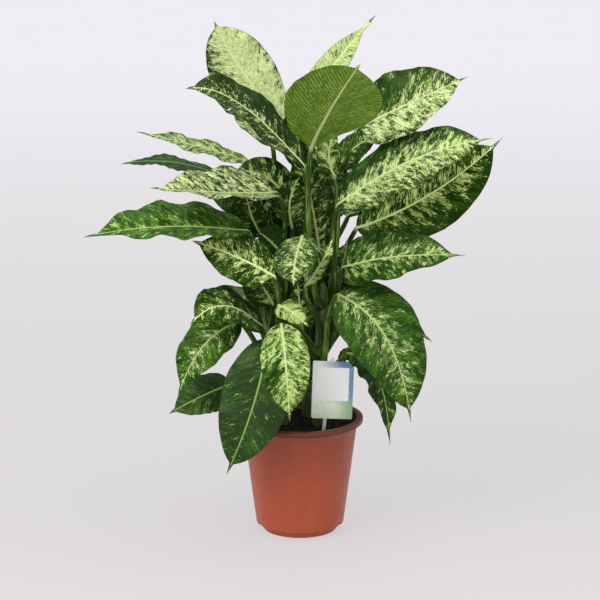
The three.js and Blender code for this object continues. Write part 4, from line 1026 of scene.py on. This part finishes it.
def buildStake():
    # A flat strip with rounded edges, from a narrow point in the soil to the card's top
    foot, head = np.array(tag["stakeFoot"], dtype=float), np.array(tag["stakeHead"], dtype=float)
    length, taper, halfWide = head[2] - foot[2], tag["stakeTaper"], tag["stakeWidth"] / 2
    height = np.concatenate([np.linspace(0, taper, 20), np.linspace(taper, length, 40)[1:]])
    half = np.clip(1 + (halfWide - 1) * height / taper, 1, halfWide)[:, None]
    angle = circle(tag["stakeSides"])
    wide = squared(np.cos(angle), tag["stakeSquare"][0])
    deep = tag["stakeThick"] / 2 * squared(np.sin(angle), tag["stakeSquare"][1])
    middle = foot + height[:, None] * ((head - foot) / length)
    rings = np.stack([middle[:, :1] + half * wide, middle[:, 1:2] + deep,
                      middle[:, 2:] + 0 * wide], -1)
    return ringSkin("tagStake", rings * mm)


def buildHook():
    # A narrow strip from the stake's head, up and forward over the card's top edge in a half turn
    # and down its face
    x, y, z = tag["stakeHead"]
    reach = tag["hookReach"]
    turn = np.linspace(0, np.pi, 12)
    back = np.stack([0 * turn[:4] + y, np.linspace(z - tag["hookBehind"], z - 0.5, 4)], 1)
    over = np.stack([y - reach + reach * np.cos(turn),
                     z + 0.2 + tag["hookRise"] * np.sin(turn)], 1)
    down = np.stack([0 * turn[:5] + y - 2 * reach, np.linspace(z, z - tag["hookBefore"], 5)], 1)
    path = np.concatenate([back, over, down])
    slope = unit(np.gradient(path, axis=0))
    normal = np.stack([slope[:, 1], -slope[:, 0]], 1)
    angle = circle(tag["hookSides"])
    wide = tag["hookWide"] * squared(np.cos(angle), tag["hookSquare"][0])
    deep = tag["hookThick"] * squared(np.sin(angle), tag["hookSquare"][1])
    rings = np.stack([x + wide + 0 * path[:, :1], path[:, :1] + normal[:, :1] * deep,
                      path[:, 1:] + normal[:, 1:] * deep], -1)
    return ringSkin("tagHook", rings * mm)


def cardMaterial():
    # A print of blue sky over green, paler to the left, with a white panel in the upper middle. The
    # back is white.
    colours = tag
    material, tree, surface = newMaterial("printedCard")
    spot = put(tree, "ShaderNodeAttribute", attribute_name="cardPlace").outputs["Vector"]
    parts = split(tree, spot)
    across, height, front = parts["X"], parts["Y"], parts["Z"]

    def within(value, middle, halfWide, fade):
        away = sums(tree, "ABSOLUTE", minus(tree, value, middle))
        return ramp(tree, away, halfWide, halfWide + fade, 1.0, 0.0)

    cloud = noise(tree, spot, 5.0, detail=4.0, rough=0.6)
    sky = blend(tree, ramp(tree, across, 0.1, 0.95), colours["sky"], colours["skyDeep"])
    corner = times(tree, ramp(tree, height, 0.8, 1.0, 0.0, 0.9), ramp(tree, across, 0.15, 0.9))
    sky = blend(tree, corner, sky, colours["blue"])
    sky = blend(tree, ramp(tree, cloud, 0.5, 0.75, 0.0, 0.5), sky, colours["cloud"])
    tufts = ramp(tree, noise(tree, spot, 14.0, detail=4.0, rough=0.7), 0.38, 0.62)
    leafy = blend(tree, tufts, colours["leafy"], colours["leafyLight"])
    leafy = blend(tree, ramp(tree, across, 0.5, 1.0, 0.0, 0.85), leafy, colours["leafyDeep"])
    edge = plus(tree, height, times(tree, minus(tree, cloud, 0.5), 0.3))
    picture = blend(tree, ramp(tree, edge, 0.2, 0.46), leafy, sky)
    panel = times(tree, within(across, 0.5, 0.385, 0.01), within(height, 0.603, 0.285, 0.007))
    picture = blend(tree, times(tree, panel, 0.96), picture, colours["panel"])
    finish = placeGroup(tree, grain, {"Where": objectPlace(tree), "Size": 700.0,
                                      "Rough Low": 0.28, "Rough High": 0.36})
    feed(tree, surface, {"Base Color": blend(tree, front, colours["back"], picture),
                         "Roughness": finish["Roughness"],
                         "Normal": relief(tree, finish["Height"], 0.05, 0.2 * mm)})
    return material


def stakeMaterial():
    # White plastic with a faint milky clouding
    material, tree, surface = newMaterial("whitePlastic")
    finish = placeGroup(tree, grain, {"Where": objectPlace(tree), "Size": 600.0,
                                      "Rough Low": 0.38, "Rough High": 0.5})
    colour = blend(tree, finish["Cloud"], tag["stake"], tag["stakeLight"])
    feed(tree, surface, {"Base Color": colour, "Roughness": finish["Roughness"],
                         "Normal": relief(tree, finish["Height"], 0.08, 0.3 * mm)})
    return material


tagCard, tagStake, tagHook = buildCard(), buildStake(), buildHook()
tagCard.data.materials.append(cardMaterial())
milky = stakeMaterial()
tagStake.data.materials.append(milky)
tagHook.data.materials.append(milky)
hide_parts("tag_card")
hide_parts("tag_stake")
for piece, slot in ((tagCard, "tag_card"), (tagStake, "tag_stake"), (tagHook, "tag_stake")):
    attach(piece, "root")
print("tag ready")


# Floor and light: a pale seamless floor that lightens into the distance, a white surround that is
# brightest above and before the plant, and soft lamps, all in metres

studio = {
    "floorSize": 30, "floorPoints": 31, "floorDrop": 0.0001,
    "keyPower": 62, "keySize": 1.6, "keyPlace": (-1.3, -1.7, 2.6),
    "topPower": 20, "topSize": 2.0, "topPlace": (0.4, 0.5, 2.8), "aim": (0, 0, 0.4),
    "low": 0.22, "high": 1.0, "brightest": (0.0, -0.55, 0.83), "surround": (0.98, 0.98, 1.0, 1.0),
    "floorBase": (90, 88, 88), "floorNear": (205, 201, 199), "floorMiddle": (197, 194, 195),
    "floorFar": (223, 220, 227),
}


def buildFloor():
    # A flat grid just under the pot's underside
    half, count = studio["floorSize"] / 2, studio["floorPoints"]
    side = np.linspace(-half, half, count)
    x, y = np.meshgrid(side, side, indexing="ij")
    points = np.stack([x, y, 0 * x - studio["floorDrop"]], -1)
    return addPiece("studioFloor", points, gridFaces(count, count)[:, ::-1].tolist())


def floorMaterial():
    # A grey ground that takes the plant's shadow, under an even pale glow that changes with depth
    material, tree, surface = newMaterial("paleFloor")
    where = objectPlace(tree)
    depth = split(tree, where)["Y"]
    glow = blend(tree, ramp(tree, depth, 0.2, 5.0), studio["floorMiddle"], studio["floorFar"])
    glow = blend(tree, ramp(tree, depth, -0.7, 0.2, 1.0, 0.0), glow, studio["floorNear"])
    finish = placeGroup(tree, grain, {"Where": where, "Size": 60.0, "Rough Low": 0.6,
                                      "Rough High": 0.7})
    feed(tree, surface, {"Base Color": shade(studio["floorBase"]), "Emission Color": glow,
                         "Emission Strength": 1.0, "Roughness": finish["Roughness"]})
    return material


def addLamp(name):
    # A square soft lamp that points at the middle of the plant
    lamp = bpy.data.objects.new(name + "Lamp", bpy.data.lights.new(name + "Lamp", "AREA"))
    lamp.data.energy = studio[name + "Power"]
    lamp.data.size = studio[name + "Size"]
    lamp.location = studio[name + "Place"]
    x, y, z = np.array(studio["aim"]) - np.array(studio[name + "Place"])
    lamp.rotation_euler = (math.atan2(np.hypot(x, y), -z), 0, math.atan2(y, x) - math.pi / 2)
    scene.collection.objects.link(lamp)


floor = buildFloor()
floor.data.materials.append(floorMaterial())
addLamp("key")
addLamp("top")
world = bpy.data.worlds.new("surround")
world.use_nodes = True
sky = world.node_tree
direction = put(sky, "ShaderNodeTexCoord").outputs["Generated"]
facing = put(sky, "ShaderNodeVectorMath", {0: direction, 1: studio["brightest"]},
             operation="DOT_PRODUCT").outputs["Value"]
strength = ramp(sky, facing, -0.3, 0.6, studio["low"], studio["high"])
feed(sky, sky.nodes["Background"], {"Color": studio["surround"], "Strength": strength})
scene.world = world
scene.view_settings.view_transform = "Standard"
print("studio ready")
